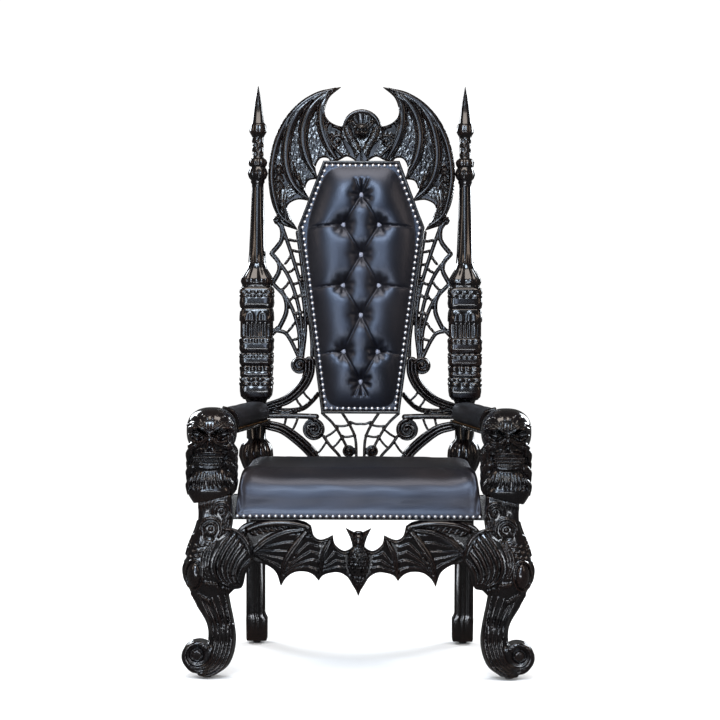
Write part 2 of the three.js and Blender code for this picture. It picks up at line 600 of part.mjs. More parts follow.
function apronHalf() {
  const notches = APRON_NOTCHES.map((knots) => smooth(knots, 5).reverse()).reverse().flat();
  const top = smooth(APRON_TOP, 8).reverse().slice(1);
  const lower = APRON_LOWER.flatMap((knots, i) => smooth(knots, i === 1 ? 6 : 7).slice(1));
  const outline = [[-0.5, 236], [-0.5, 372], ...notches, ...top, APRON_LOWER[0][0], ...lower];
  const { front, back, legInner, legFace } = APRON;
  const wing = board(outline, front, back);
  const ribs = APRON_RIBS.map((knots) => curvedBar(knots, 3, (t) => 17 - 6 * t, front - 10, front + 6));
  const pleats = APRON_PLEATS.map((knots) => curvedBar(knots, 2, (t) => 17 - 9 * t, front - 5, front + 5));
  const behindLeg = box(legInner, LEG.inner, -REACH, legFace, 0, APRON.top);
  return join([wing, ...ribs, ...pleats]).subtract(behindLeg);
}

function apronBat() {
  const body = ellipsoid(0, APRON.front - 4, 320, 32, 24, 48, 8, 6);
  const tail = solidOf(placed(new THREE.ConeGeometry(20, 60, 6), 0, APRON.front + 6, 264, -Math.PI / 2));
  const head = ellipsoid(0, APRON.front - 12, 388, 18, 18, 21, 8, 6);
  const neck = ellipsoid(0, APRON.front - 2, 366, 24, 14, 14, 8, 4);
  const ear = solidOf(placed(new THREE.ConeGeometry(9, 34, 5), 20, APRON.front - 8, 404, Math.PI / 2, 0.75));
  return join([body, tail, head, neck, ear, mirrored(ear)]);
}

const apronWing = apronHalf();
const apronLimit = box(-LEG.inner, LEG.inner, -REACH, APRON.back, 0, APRON.top);
const apron = join([apronWing, mirrored(apronWing), apronBat()]).intersect(apronLimit);
addPiece(throne, 'bat_apron', apron, LACQUER);

// Floor glides under the four feet
function glideSolid(x, y) {
  const profile = [[0, 0], [12, 0], [13, FOOT_LIFT], [0, FOOT_LIFT]];
  const geometry = new THREE.LatheGeometry(profile.map(([r, h]) => new THREE.Vector2(r, h)), 10);
  return solidOf(geometry.rotateX(Math.PI / 2).translate(x, y, 0));
}

const GLIDES = { front: [424, LEG.y], back: [POST_X - 3, postAt(-BACK.z).y] };
Object.entries(GLIDES).forEach(([place, [x, y]]) => {
  addPiece(throne, `glide_${place}_right`, glideSolid(x, y), GLIDE);
  addPiece(throne, `glide_${place}_left`, glideSolid(-x, y), GLIDE);
});

export default throne;
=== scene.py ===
"""Dresses the carved high-backed throne: fine carving, leather, nails, finishes, studio and camera.

Sizes in the classes are millimetres. In a drawing, x runs to the viewer's right, u is the distance behind the
throne's front, z the height over the floor, and t the height on the raked plane of the back.
"""

import logging
import math
from dataclasses import dataclass, field
from enum import Enum
from typing import Callable, Iterable, Sequence

import bpy
import numpy as np
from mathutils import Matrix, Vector


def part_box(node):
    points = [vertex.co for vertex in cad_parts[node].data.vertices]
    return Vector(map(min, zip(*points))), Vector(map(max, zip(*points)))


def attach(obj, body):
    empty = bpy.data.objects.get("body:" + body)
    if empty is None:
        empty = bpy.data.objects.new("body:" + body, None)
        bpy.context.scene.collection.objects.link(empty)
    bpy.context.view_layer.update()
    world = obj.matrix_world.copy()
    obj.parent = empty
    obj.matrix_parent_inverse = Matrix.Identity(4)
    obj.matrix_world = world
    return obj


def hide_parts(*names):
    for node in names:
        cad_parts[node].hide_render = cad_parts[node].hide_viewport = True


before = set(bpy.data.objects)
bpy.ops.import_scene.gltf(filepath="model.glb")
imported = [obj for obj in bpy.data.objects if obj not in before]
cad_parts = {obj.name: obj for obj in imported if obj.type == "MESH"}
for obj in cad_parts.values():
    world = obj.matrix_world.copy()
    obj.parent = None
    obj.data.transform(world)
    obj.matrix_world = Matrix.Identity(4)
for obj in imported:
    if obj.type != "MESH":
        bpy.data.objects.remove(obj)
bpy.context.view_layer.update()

MM = 0.001
FAR = 1.0e3
LOG = logging.getLogger("throne")
Line = Sequence[Sequence[float]]


@dataclass(frozen=True)
class Datum:
    """Where the zero lines of the drawings lie in the frame."""

    rail_front: float = 52.0
    foot_u: float = 660.0
    foot_z: float = 568.0
    rake: float = math.radians(4.0)

    def front(self) -> float:
        """Returns the frame's y, in millimetres, of the plane u = 0."""
        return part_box("seat_rail_front")[0].y / MM - self.rail_front

    def upright(self, points: np.ndarray) -> np.ndarray:
        """Places points of an upright drawing in the frame.

        Args:
            points: rows of x, u, z.

        Returns:
            Rows of x, y, z in metres.
        """
        return (points + np.array([0.0, self.front(), 0.0])) * MM

    def raked(self, points: np.ndarray) -> np.ndarray:
        """Places points of the raked back in the frame.

        Args:
            points: rows of x, depth behind the raked plane, t.

        Returns:
            Rows of x, y, z in metres.
        """
        c, s = math.cos(self.rake), math.sin(self.rake)
        x, deep, t = points.T
        return self.upright(np.stack([x, self.foot_u + deep * c + t * s, self.foot_z + t * c - deep * s], 1))


DATUM = Datum()


def smooth(knots: Line, steps: int = 8) -> np.ndarray:
    """Samples a smooth line through knots, tight in its bends and straight in its long spans.

    Args:
        knots: points of two or more coordinates.
        steps: samples between neighbouring knots.

    Returns:
        The points of the line.
    """
    inner = np.asarray(knots, float)
    p = np.vstack([2 * inner[0] - inner[1], inner, 2 * inner[-1] - inner[-2]])
    gaps = np.maximum(np.linalg.norm(np.diff(p, axis=0), axis=1), 1e-6) ** 0.5
    s = np.linspace(0.0, 1.0, steps, endpoint=False)[:, None]
    spans = []
    for i in range(len(inner) - 1):
        a, b, c, d = p[i:i + 4]
        ga, gb, gc = gaps[i:i + 3]
        out = ((b - a) / ga - (c - a) / (ga + gb) + (c - b) / gb) * gb
        into = ((c - b) / gb - (d - b) / (gb + gc) + (d - c) / gc) * gb
        spans.append(b + out * s + (3 * (c - b) - 2 * out - into) * s**2 + (2 * (b - c) + out + into) * s**3)
    return np.vstack([*spans, inner[-1:]])


def spiral(centre: Sequence[float], outer: float, inner: float, start: float, turn: float, steps: int = 60) -> np.ndarray:
    """Draws a spiral from its outer end inwards.

    Args:
        centre: x and height of its middle.
        outer: radius at the start.
        inner: radius at the end.
        start: angle of the start in radians.
        turn: how far it turns, in radians.
        steps: number of chords.

    Returns:
        The points of the line.
    """
    s = np.linspace(0.0, 1.0, steps + 1)
    r = outer + (inner - outer) * s
    return np.stack([centre[0] + r * np.cos(start + turn * s), centre[1] + r * np.sin(start + turn * s)], 1)


def between(first: np.ndarray, second: np.ndarray, share: float, samples: int = 40) -> np.ndarray:
    """Finds the line part of the way from one line to another.

    Args:
        first: points of one line.
        second: points of the other.
        share: 0 on the first, 1 on the second.
        samples: points of the result.

    Returns:
        The points of the line between.
    """
    s = np.linspace(0.0, 1.0, samples)
    ends = []
    for line in (first, second):
        run = np.concatenate([[0.0], np.cumsum(np.linalg.norm(np.diff(line, axis=0), axis=1))])
        ends.append(np.stack([np.interp(s * run[-1], run, line[:, k]) for k in range(line.shape[1])], 1))
    return ends[0] * (1 - share) + ends[1] * share


def rounded(corners: Line, radii: Sequence[float], steps: int = 6) -> np.ndarray:
    """Rounds the corners of a closed outline.

    Args:
        corners: the outline's corners, in order.
        radii: how far from each corner its bend starts.
        steps: points on each bend.

    Returns:
        The points of the rounded outline.
    """
    p = np.asarray(corners, float)
    s = np.linspace(0.0, 1.0, steps)[:, None]
    bends = []
    for before, here, after, r in zip(np.roll(p, 1, axis=0), p, np.roll(p, -1, axis=0), radii):
        start = here + (before - here) / np.linalg.norm(before - here) * r
        end = here + (after - here) / np.linalg.norm(after - here) * r
        bends.append(start * (1 - s) ** 2 + here * 2 * s * (1 - s) + end * s**2)
    return np.vstack(bends)


class Section(Enum):
    """Cross-sections that a carved stroke can have."""

    ROUND = "round"
    RIDGE = "ridge"
    SOFT = "soft"
    FLAT = "flat"
    EDGED = "edged"
    REEDS = "reeds"
    HOLLOW = "hollow"

    def height(self, across: np.ndarray) -> np.ndarray:
        """Returns the height, from 0 to 1, at a place across the stroke, from -1 to 1."""
        r = np.clip(np.abs(across), 0.0, 1.0)
        if self is Section.RIDGE:
            return 1.0 - r
        if self is Section.SOFT:
            return 0.5 + 0.5 * np.cos(math.pi * r)
        if self is Section.FLAT:
            return np.sqrt(np.clip(1.0 - r**6, 0.0, 1.0))
        if self is Section.EDGED:
            threads = np.maximum(lane(across, -1.0, -0.68), lane(across, 0.68, 1.0))
            return np.maximum(threads * 0.9, 0.85 * np.clip(1.0 - (r / 0.7) ** 3, 0.0, 1.0) ** 0.5)
        if self is Section.REEDS:
            return np.sqrt(1.0 - 0.6 * r**2) * np.maximum(lane(across, -1, -1 / 3), np.maximum(lane(across, -1 / 3, 1 / 3), lane(across, 1 / 3, 1)))
        if self is Section.HOLLOW:
            return np.clip((1.0 - r) * 5.0, 0.0, 1.0) * (0.45 + 0.55 * r**2)
        return np.sqrt(1.0 - r**2)


def lane(across: np.ndarray, low: float, high: float) -> np.ndarray:
    """Returns a half-round from 0 to 1 that fills one lane of a stroke, between two places across it."""
    q = (across - (low + high) / 2) / ((high - low) / 2)
    return np.sqrt(np.clip(1.0 - q**2, 0.0, 1.0))


@dataclass
class Shell:
    """Points and faces of one mesh, in millimetres of its drawing."""

    points: np.ndarray
    quads: np.ndarray = field(default_factory=lambda: np.zeros((0, 4), int))
    triangles: np.ndarray = field(default_factory=lambda: np.zeros((0, 3), int))

    def mirrored(self) -> "Shell":
        """Returns the shell mirrored across the middle plane."""
        return Shell(self.points * np.array([-1.0, 1.0, 1.0]), self.quads[:, ::-1], self.triangles[:, ::-1])

    def placed(self, place: Callable[[np.ndarray], np.ndarray]) -> "Shell":
        """Returns the shell with its points moved by a function."""
        return Shell(place(self.points), self.quads, self.triangles)

    @staticmethod
    def joined(shells: Iterable["Shell"]) -> "Shell":
        """Puts several shells into one.

        Args:
            shells: the shells, in order.

        Returns:
            One shell with all their faces.
        """
        points, quads, triangles, base = [], [], [], 0
        for shell in shells:
            points.append(shell.points)
            quads.append(shell.quads + base)
            triangles.append(shell.triangles + base)
            base += len(shell.points)
        return Shell(np.vstack(points), np.vstack(quads), np.vstack(triangles))

    def mesh(self, name: str) -> bpy.types.Mesh:
        """Makes a Blender mesh of the shell, whose points are in metres by now.

        Args:
            name: the mesh's name.

        Returns:
            The mesh, smooth shaded.
        """
        made = bpy.data.meshes.new(name)
        made.vertices.add(len(self.points))
        made.vertices.foreach_set("co", np.asarray(self.points, np.float32).ravel())
        corners = np.concatenate([self.quads.ravel(), self.triangles.ravel()])
        made.loops.add(len(corners))
        made.loops.foreach_set("vertex_index", corners.astype(np.int32))
        starts = np.concatenate([np.arange(len(self.quads)) * 4, 4 * len(self.quads) + np.arange(len(self.triangles)) * 3])
        made.polygons.add(len(starts))
        made.polygons.foreach_set("loop_start", starts.astype(np.int32))
        made.update(calc_edges=True)
        made.validate()
        made.shade_smooth()
        return made


def rings(levels: np.ndarray, closed: bool = False) -> Shell:
    """Skins a stack of rings that have the same number of points, with a cap at each end.

    Args:
        levels: array of rings by points by three coordinates.
        closed: joins the last ring to the first instead of capping both.

    Returns:
        The closed shell.
    """
    count, sides = levels.shape[:2]
    rows = count if closed else count - 1
    i, k = np.meshgrid(np.arange(rows), np.arange(sides), indexing="ij")
    after, beside = (i + 1) % count, (k + 1) % sides
    quads = np.stack([i * sides + k, i * sides + beside, after * sides + beside, after * sides + k], -1).reshape(-1, 4)
    points = levels.reshape(-1, 3)
    if closed:
        return Shell(points, quads)
    middles = levels[[0, -1]].mean(axis=1)
    k = np.arange(sides)
    low = np.stack([(k + 1) % sides, k, np.full(sides, len(points))], 1)
    high = np.stack([k, (k + 1) % sides, np.full(sides, 0)], 1) + (count - 1) * sides
    high[:, 2] = len(points) + 1
    return Shell(np.vstack([points, middles]), quads, np.vstack([low, high]))


class Canvas:
    """A height map on a flat board, carved with strokes, in the drawing's x and height."""

    def __init__(self, across: tuple[float, float], up: tuple[float, float], pitch: float) -> None:
        """Lays out the board.

        Args:
            across: lowest and highest x.
            up: lowest and highest height.
            pitch: distance between samples.
        """
        self.pitch = pitch
        self.a = np.arange(across[0], across[1] + pitch, pitch)
        self.b = np.arange(up[0], up[1] + pitch, pitch)
        self.height = np.zeros((len(self.a), len(self.b)))
        self.inside = np.full_like(self.height, -FAR)

    def window(self, line: np.ndarray, reach: float) -> tuple[slice, slice]:
        """Returns the slices of the board within a reach of a line's box."""
        low, high = line.min(axis=0) - reach, line.max(axis=0) + reach
        spans = zip((self.a, self.b), low, high)
        return tuple(slice(int(np.searchsorted(axis, lo)), int(np.searchsorted(axis, hi))) for axis, lo, hi in spans)

    def grid(self, area: tuple[slice, slice] = (slice(None), slice(None))) -> tuple[np.ndarray, np.ndarray]:
        """Returns the x and height of every sample of an area, or of the whole board."""
        return np.meshgrid(self.a[area[0]], self.b[area[1]], indexing="ij")

    def beside(self, line: np.ndarray, reach: float) -> tuple[tuple[slice, slice], np.ndarray, np.ndarray]:
        """Measures the samples near a line.

        Args:
            line: points of the line.
            reach: how far from it to look.

        Returns:
            The area, the distance with the left side positive, and the share of the line's length at each sample.
        """
        area = self.window(line, reach)
        x, z = self.grid(area)
        near = np.full(x.shape, FAR)
        share = np.zeros_like(near)
        run = np.concatenate([[0.0], np.cumsum(np.linalg.norm(np.diff(line, axis=0), axis=1))])
        for i, (p, q) in enumerate(zip(line[:-1], line[1:])):
            part = self.window(np.stack([p, q]), reach)
            i0, j0 = area[0].start, area[1].start
            here = (slice(part[0].start - i0, part[0].stop - i0), slice(part[1].start - j0, part[1].stop - j0))
            ex, ez = q - p
            dx, dz = x[here] - p[0], z[here] - p[1]
            s = np.clip((dx * ex + dz * ez) / max(ex * ex + ez * ez, 1e-9), 0.0, 1.0)
            gap = np.hypot(dx - s * ex, dz - s * ez)
            closer = gap < np.abs(near[here]) - 1e-9
            near[here] = np.where(closer, np.where(ex * dz - ez * dx >= 0, gap, -gap), near[here])
            share[here] = np.where(closer, (run[i] + s * (run[i + 1] - run[i])) / max(run[-1], 1e-9), share[here])
        return area, near, share

    def outline(self, loops: Sequence[np.ndarray]) -> None:
        """Sets the board's outline from closed loops; a loop inside another is a hole."""
        x, z = self.grid()
        odd = np.zeros(x.shape, bool)
        gap = np.full(x.shape, FAR)
        for loop in loops:
            ring = np.vstack([loop, loop[:1]])
            for (ax, az), (bx, bz) in zip(ring[:-1], ring[1:]):
                if az != bz:
                    rows = (self.b >= min(az, bz)) & (self.b < max(az, bz))
                    odd[:, rows] ^= x[:, rows] < ax + (z[:, rows] - az) * (bx - ax) / (bz - az)
            area, near, _ = self.beside(ring, 26.0)
            gap[area] = np.minimum(gap[area], np.abs(near))
        gap = np.minimum(gap, 26.0)
        self.inside = np.maximum(self.inside, np.where(odd, gap, -gap))

    def widen(self, knots: Line, width: float | Sequence[float], steps: int = 8) -> None:
        """Adds a band along a line to the board's outline."""
        line = smooth(knots, steps)
        half = np.atleast_1d(np.asarray(width, float)) / 2
        area, near, share = self.beside(line, float(half.max()) + 16.0)
        reach = np.interp(share, np.linspace(0, 1, len(half)), half) if len(half) > 1 else half[0]
        self.inside[area] = np.maximum(self.inside[area], reach - np.abs(near))

    def stroke(
        self,
        knots: Line,
        width: float | Sequence[float],
        height: float | Sequence[float],
        section: Section = Section.ROUND,
        base: float | None = None,
        steps: int = 8,
    ) -> None:
        """Carves one stroke.

        Args:
            knots: points that its middle line runs through.
            width: its width, or widths spread evenly along it.
            height: its height, or heights along it; below zero cuts in.
            section: its cross-section.
            base: height that it stands on; without one it is added to what is there.
            steps: samples between knots.
        """
        line = smooth(knots, steps)
        half = np.atleast_1d(np.asarray(width, float)) / 2
        tall = np.atleast_1d(np.asarray(height, float))
        area, near, share = self.beside(line, float(half.max()))
        reach = np.maximum(np.interp(share, np.linspace(0, 1, len(half)), half), 0.3)
        top = np.interp(share, np.linspace(0, 1, len(tall)), tall)
        rise = np.where(np.abs(near) < reach, section.height(near / reach), 0.0) * top
        if base is None:
            self.height[area] += rise
        else:
            on = np.abs(near) < reach
            self.height[area] = np.where(on, np.maximum(self.height[area], base + rise), self.height[area])

    def ball(self, x: float, z: float, rx: float, rz: float, height: float, turn: float = 0.0, base: float | None = None) -> None:
        """Carves a dome.

        Args:
            x: its middle.
            z: its middle's height on the board.
            rx: its half width.
            rz: its half height.
            height: how far it stands out; below zero cuts in.
            turn: its turn in radians.
            base: height that it stands on; without one it is added to what is there.
        """
        reach = max(rx, rz)
        area = self.window(np.array([[x - reach, z - reach], [x + reach, z + reach]]), 1.0)
        gx, gz = self.grid(area)
        c, s = math.cos(turn), math.sin(turn)
        p = ((gx - x) * c + (gz - z) * s) / rx
        q = ((gz - z) * c - (gx - x) * s) / rz
        rise = np.sqrt(np.clip(1.0 - p * p - q * q, 0.0, 1.0)) * height
        if base is None:
            self.height[area] += rise
        else:
            self.height[area] = np.where(rise != 0, np.maximum(self.height[area], base + rise), self.height[area])

    def beads(self, knots: Line, radius: float, pitch: float, height: float, base: float | None = None) -> None:
        """Carves a row of beads along a line."""
        line = smooth(knots)
        run = np.concatenate([[0.0], np.cumsum(np.linalg.norm(np.diff(line, axis=0), axis=1))])
        count = max(int(run[-1] / pitch), 1)
        for s in (np.arange(count) + 0.5) / count * run[-1]:
            self.ball(np.interp(s, run, line[:, 0]), np.interp(s, run, line[:, 1]), radius, radius, height, base=base)

    def patch(self, first: Line, second: Line, inset: float = 1.5) -> tuple[tuple[slice, slice], np.ndarray, np.ndarray, np.ndarray]:
        """Measures the field between two lines that run the same way.

        Args:
            first: knots of one side.
            second: knots of the other side.
            inset: margin left free along both.

        Returns:
            The area, a mask of the field, the share of the way across, and the share of the way along.
        """
        one, two = smooth(first), smooth(second)
        both = np.vstack([one, two[::-1]])
        area = self.window(both, 1.0)
        x, z = self.grid(area)
        odd = np.zeros(x.shape, bool)
        ring = np.vstack([both, both[:1]])
        for (ax, az), (bx, bz) in zip(ring[:-1], ring[1:]):
            if az != bz:
                rows = (z >= min(az, bz)) & (z < max(az, bz))
                odd ^= rows & (x < ax + (z - az) * (bx - ax) / (bz - az))
        sides = []
        for line in (one, two):
            gap = np.full(x.shape, FAR)
            share = np.zeros_like(gap)
            run = np.concatenate([[0.0], np.cumsum(np.linalg.norm(np.diff(line, axis=0), axis=1))])
            for i, (p, q) in enumerate(zip(line[:-1], line[1:])):
                ex, ez = q - p
                s = np.clip(((x - p[0]) * ex + (z - p[1]) * ez) / max(ex * ex + ez * ez, 1e-9), 0.0, 1.0)
                d = np.hypot(x - p[0] - s * ex, z - p[1] - s * ez)
                closer = d < gap
                gap = np.where(closer, d, gap)
                share = np.where(closer, (run[i] + s * (run[i + 1] - run[i])) / run[-1], share)
            sides.append((gap, share))
        (ga, sa), (gb, sb) = sides
        across = ga / np.maximum(ga + gb, 1e-6)
        return area, odd & (ga > inset) & (gb > inset), across, sa * (1 - across) + sb * across

    def shingles(self, first: Line, second: Line, count: int, lift: float, bow: float = 0.0, fade: float = 0.12) -> None:
        """Carves pleats that overlap from one line to the other.

        Args:
            first: knots of the side they start from.
            second: knots of the side they end at.
            count: how many pleats.
            lift: height of each step.
            bow: how far the pleats bow along their length, in pleats.
            fade: share of the length over which they die out at both ends.
        """
        area, field_mask, across, along = self.patch(first, second)
        phase = across * count + bow * np.sin(math.pi * along)
        wave = phase - np.floor(phase)
        crest = np.where(wave < 0.82, wave / 0.82, (1 - wave) / 0.18)
        ends = np.clip(np.minimum(along, 1 - along) / fade, 0, 1)
        self.height[area] += np.where(field_mask, crest * lift * ends, 0.0)

    def reeds(self, first: Line, second: Line, count: int, lift: float, fade: float = 0.1) -> None:
        """Carves rounded reeds that run along the field between two lines."""
        area, field_mask, across, along = self.patch(first, second, 0.5)
        wave = across * count - np.floor(across * count)
        crest = np.sqrt(np.clip(1 - (2 * wave - 1) ** 2, 0, 1))
        ends = np.clip(np.minimum(along, 1 - along) / max(fade, 1e-3), 0, 1)
        self.height[area] += np.where(field_mask, crest * lift * ends, 0.0)

    def scales(self, first: Line, second: Line, columns: int, rows: int, lift: float, seed: int = 1, ragged: float = 0.4) -> None:
        """Carves rows of small overlapping leaves in the field between two lines.

        Args:
            first: knots of one side.
            second: knots of the other side.
            columns: leaves side by side.
            rows: leaves one above another.
            lift: how far a leaf's tip stands out.
            seed: seed of the leaves' unevenness.
            ragged: share by which the leaves differ.
        """
        area, field_mask, across, along = self.patch(first, second)
        uneven = np.random.default_rng(seed).random((columns + 2, rows + 2, 2))
        total = np.zeros_like(across)
        for layer in (0, 1):
            row = along * rows * 0.5 + 0.5 * layer
            r = np.floor(row)
            column = across * columns + 0.5 * layer
            c = np.floor(column)
            ci, ri = np.clip(c, 0, columns + 1).astype(int), np.clip(r * 2 + layer, 0, rows + 1).astype(int)
            p = (column - c) * 2 - 1 + (uneven[ci, ri, 0] - 0.5) * ragged
            q = (row - r) * 2 - 1
            body = np.sqrt(np.clip(1 - p**2 - (q * 0.92) ** 2, 0, 1)) * (0.62 + 0.38 * q)
            vein = 0.28 * np.exp(-((p / 0.16) ** 2)) * np.clip(1 - q**2, 0, 1)
            total = np.maximum(total, (body - vein) * (1 - ragged * uneven[ci, ri, 1]))
        self.height[area] += np.where(field_mask, total * lift, 0.0)

    def ease(self, radius: float, drop: float) -> None:
        """Rounds the board's edge over, by a drop, within a radius of its outline."""
        q = np.clip(1 - self.inside / radius, 0, 1)
        self.height -= drop * (1 - np.sqrt(1 - np.minimum(q, 0.999) ** 2))

    def sample(self, x: np.ndarray, z: np.ndarray) -> np.ndarray:
        """Returns the height at any places on the board."""
        p = np.clip((x - self.a[0]) / self.pitch, 0, len(self.a) - 1.001)
        q = np.clip((z - self.b[0]) / self.pitch, 0, len(self.b) - 1.001)
        i, j = p.astype(int), q.astype(int)
        s, r = p - i, q - j
        h = self.height
        low = h[i, j] * (1 - s) + h[i + 1, j] * s
        high = h[i, j + 1] * (1 - s) + h[i + 1, j + 1] * s
        return low * (1 - r) + high * r

    def cells(self) -> np.ndarray:
        """Returns which squares between samples belong to the board, with no two that meet only at a corner."""
        inner = self.inside > 0
        used = inner[:-1, :-1] | inner[1:, :-1] | inner[:-1, 1:] | inner[1:, 1:]
        used[[0, -1], :] = False
        used[:, [0, -1]] = False
        for _ in range(6):
            a, b, c, d = used[:-1, :-1], used[1:, :-1], used[:-1, 1:], used[1:, 1:]
            rising, falling = a & d & ~b & ~c, b & c & ~a & ~d
            if not (rising | falling).any():
                break
            used[1:, :-1] |= rising
            used[:-1, :-1] |= falling
        return used

    def board(self, front: float, back: float, chamfer: float = 0.7) -> Shell:
        """Closes the carved front into a board.

        Args:
            front: depth of the plane on which the height is zero.
            back: depth of the flat back.
            chamfer: bevel round the back's edge.

        Returns:
            The closed shell, in x, depth and height.
        """
        used = self.cells()
        na, nb = self.height.shape
        slope_a, slope_b = np.gradient(self.inside, self.pitch)
        steep = np.maximum(slope_a**2 + slope_b**2, 0.3)
        shift = np.clip(np.minimum(self.inside, 0), -1.6 * self.pitch, 0)
        x, z = self.grid()
        x = x - shift * slope_a / steep
        z = z - shift * slope_b / steep
        node = np.arange(na * nb).reshape(na, nb)
        quads = np.stack([node[:-1, :-1], node[1:, :-1], node[1:, 1:], node[:-1, 1:]], -1)[used]
        edges = np.vstack([quads[:, [k, (k + 1) % 4]] for k in range(4)])
        rim = edges[~np.isin(edges @ (na * nb, 1), edges @ (1, na * nb))]
        kept, quads = np.unique(quads, return_inverse=True)
        quads = quads.reshape(-1, 4)
        number = np.full(na * nb, -1)
        number[kept] = np.arange(len(kept))
        rim = number[rim]
        px, pz = x.ravel()[kept], z.ravel()[kept]
        points = np.stack([px, front - self.sample(px, pz), pz], 1)
        edge = np.unique(rim)
        local = np.full(len(kept), -1)
        local[edge] = np.arange(len(edge))
        lean = np.stack([slope_a.ravel()[kept][edge], slope_b.ravel()[kept][edge]], 1)
        lean /= np.maximum(np.linalg.norm(lean, axis=1, keepdims=True), 0.5)
        wall = points[edge].copy()
        wall[:, 1] = back - chamfer
        rear = points.copy()
        rear[:, 1] = back
        rear[edge[:, None], [0, 2]] += lean * chamfer
        count = len(points)
        a, b = rim.T
        high, low = 2 * count + local[a], 2 * count + local[b]
        sides = np.vstack([np.stack([b, a, high, low], 1), np.stack([low, high, count + a, count + b], 1)])
        return Shell(np.vstack([points, rear, wall]), np.vstack([quads, quads[:, ::-1] + count, sides]))


class Block:
    """A solid sampled on a grid: each value is the distance to the surface, below zero inside."""

    def __init__(self, low: Sequence[float], high: Sequence[float], pitch: float) -> None:
        """Lays out an empty block.

        Args:
            low: its lowest corner.
            high: its highest corner.
            pitch: distance between samples.
        """
        self.pitch = pitch
        self.axes = [np.arange(a, b + pitch, pitch, dtype=np.float32) for a, b in zip(low, high)]
        self.value = np.full([len(axis) for axis in self.axes], FAR, np.float32)

    def window(self, low: Sequence[float], high: Sequence[float]) -> tuple[slice, ...]:
        """Returns the slices of the block between two corners."""
        ends = zip(self.axes, low, high)
        return tuple(slice(int(np.searchsorted(axis, lo)), int(np.searchsorted(axis, hi))) for axis, lo, hi in ends)

    def grid(self, area: tuple[slice, ...]) -> list[np.ndarray]:
        """Returns the three coordinates of an area as arrays that broadcast."""
        x, y, z = (axis[part] for axis, part in zip(self.axes, area))
        return [x[:, None, None], y[None, :, None], z[None, None, :]]

    def merge(self, area: tuple[slice, ...], gap: np.ndarray, soft: float, carve: bool) -> None:
        """Joins a form to the block, or cuts it away.

        Args:
            area: where the form is.
            gap: its distance field there.
            soft: radius of the fillet where they meet.
            carve: cuts instead of joining.
        """
        there = -self.value[area] if carve else self.value[area]
        near = gap.astype(np.float32)
        if soft > 0:
            h = np.clip(0.5 + 0.5 * (there - near) / soft, 0, 1)
            mixed = there * (1 - h) + near * h - soft * h * (1 - h)
        else:
            mixed = np.minimum(there, near)
        self.value[area] = -mixed if carve else mixed

    def ellipsoid(
        self,
        centre: Sequence[float],
        radii: Sequence[float],
        soft: float = 4.0,
        carve: bool = False,
        roll: float = 0.0,
        yaw: float = 0.0,
        power: float = 2.0,
    ) -> None:
        """Joins or cuts an ellipsoid.

        Args:
            centre: its middle.
            radii: its half sizes.
            soft: radius of the fillet.
            carve: cuts instead of joining.
            roll: its turn about the depth axis, in radians.
            yaw: its turn about the upright axis, in radians.
            power: its squareness, 2 for a true ellipsoid.
        """
        reach = max(radii) + soft + 3 * self.pitch
        area = self.window([c - reach for c in centre], [c + reach for c in centre])
        x, y, z = (g - c for g, c in zip(self.grid(area), centre))
        x, y = x * math.cos(yaw) + y * math.sin(yaw), y * math.cos(yaw) - x * math.sin(yaw)
        x, z = x * math.cos(roll) + z * math.sin(roll), z * math.cos(roll) - x * math.sin(roll)
        parts = [(np.abs(g / r) + 1e-6, r) for g, r in zip((x, y, z), radii)]
        k = sum(q**power for q, _ in parts) ** (1 / power)
        slope = np.sqrt(sum((q ** (power - 1) / r) ** 2 for q, r in parts)) * k ** (1 - power)
        self.merge(area, (k - 1) / np.maximum(slope, 1e-4), soft, carve)

    def tube(self, knots: Line, radius: Sequence[float], soft: float = 2.0, carve: bool = False, steps: int = 5) -> None:
        """Joins or cuts a round bar along a smooth line of three coordinates.

        Args:
            knots: points that the middle runs through.
            radius: radii spread evenly along it.
            soft: radius of the fillet.
            carve: cuts instead of joining.
            steps: samples between knots.
        """
        line = smooth(knots, steps)
        radii = np.interp(np.linspace(0, 1, len(line)), np.linspace(0, 1, len(radius)), radius)
        reach = float(radii.max()) + soft + 2 * self.pitch
        area = self.window(line.min(axis=0) - reach, line.max(axis=0) + reach)
        x, y, z = self.grid(area)
        gap = np.full(self.value[area].shape, FAR, np.float32)
        for p, q, r0, r1 in zip(line[:-1], line[1:], radii[:-1], radii[1:]):
            e = q - p
            s = np.clip(((x - p[0]) * e[0] + (y - p[1]) * e[1] + (z - p[2]) * e[2]) / max(float(e @ e), 1e-6), 0, 1)
            d = np.sqrt((x - p[0] - s * e[0]) ** 2 + (y - p[1] - s * e[1]) ** 2 + (z - p[2] - s * e[2]) ** 2)
            gap = np.minimum(gap, d - (r0 + (r1 - r0) * s))
        self.merge(area, gap, soft, carve)

    def column(self, levels: np.ndarray, soft: float = 0.0) -> None:
        """Joins an upright body that is a rounded box at every height.

        Args:
            levels: rows of height, middle x, middle depth, half width, half depth, squareness, rising.
            soft: radius of the fillet.
        """
        low, high = levels[0, 0], levels[-1, 0]
        area = self.window([-FAR, -FAR, low - 12], [FAR, FAR, high + 12])
        x, y, z = self.grid(area)
        cx, cy, a, b, n = (np.interp(z, levels[:, 0], levels[:, k]) for k in range(1, 6))
        k = (np.abs((x - cx) / a) ** n + np.abs((y - cy) / b) ** n) ** (1 / n)
        gap = (k - 1) * np.minimum(a, b)
        gap = np.maximum(gap, np.maximum(low - z, z - high))
        self.merge(area, gap, soft, False)

    def keep(self, gap: Callable[[np.ndarray, np.ndarray, np.ndarray], np.ndarray]) -> None:
        """Cuts away all that lies where a function of the three coordinates is above zero."""
        area = tuple(slice(0, len(axis)) for axis in self.axes)
        self.value = np.maximum(self.value, gap(*self.grid(area)).astype(np.float32))

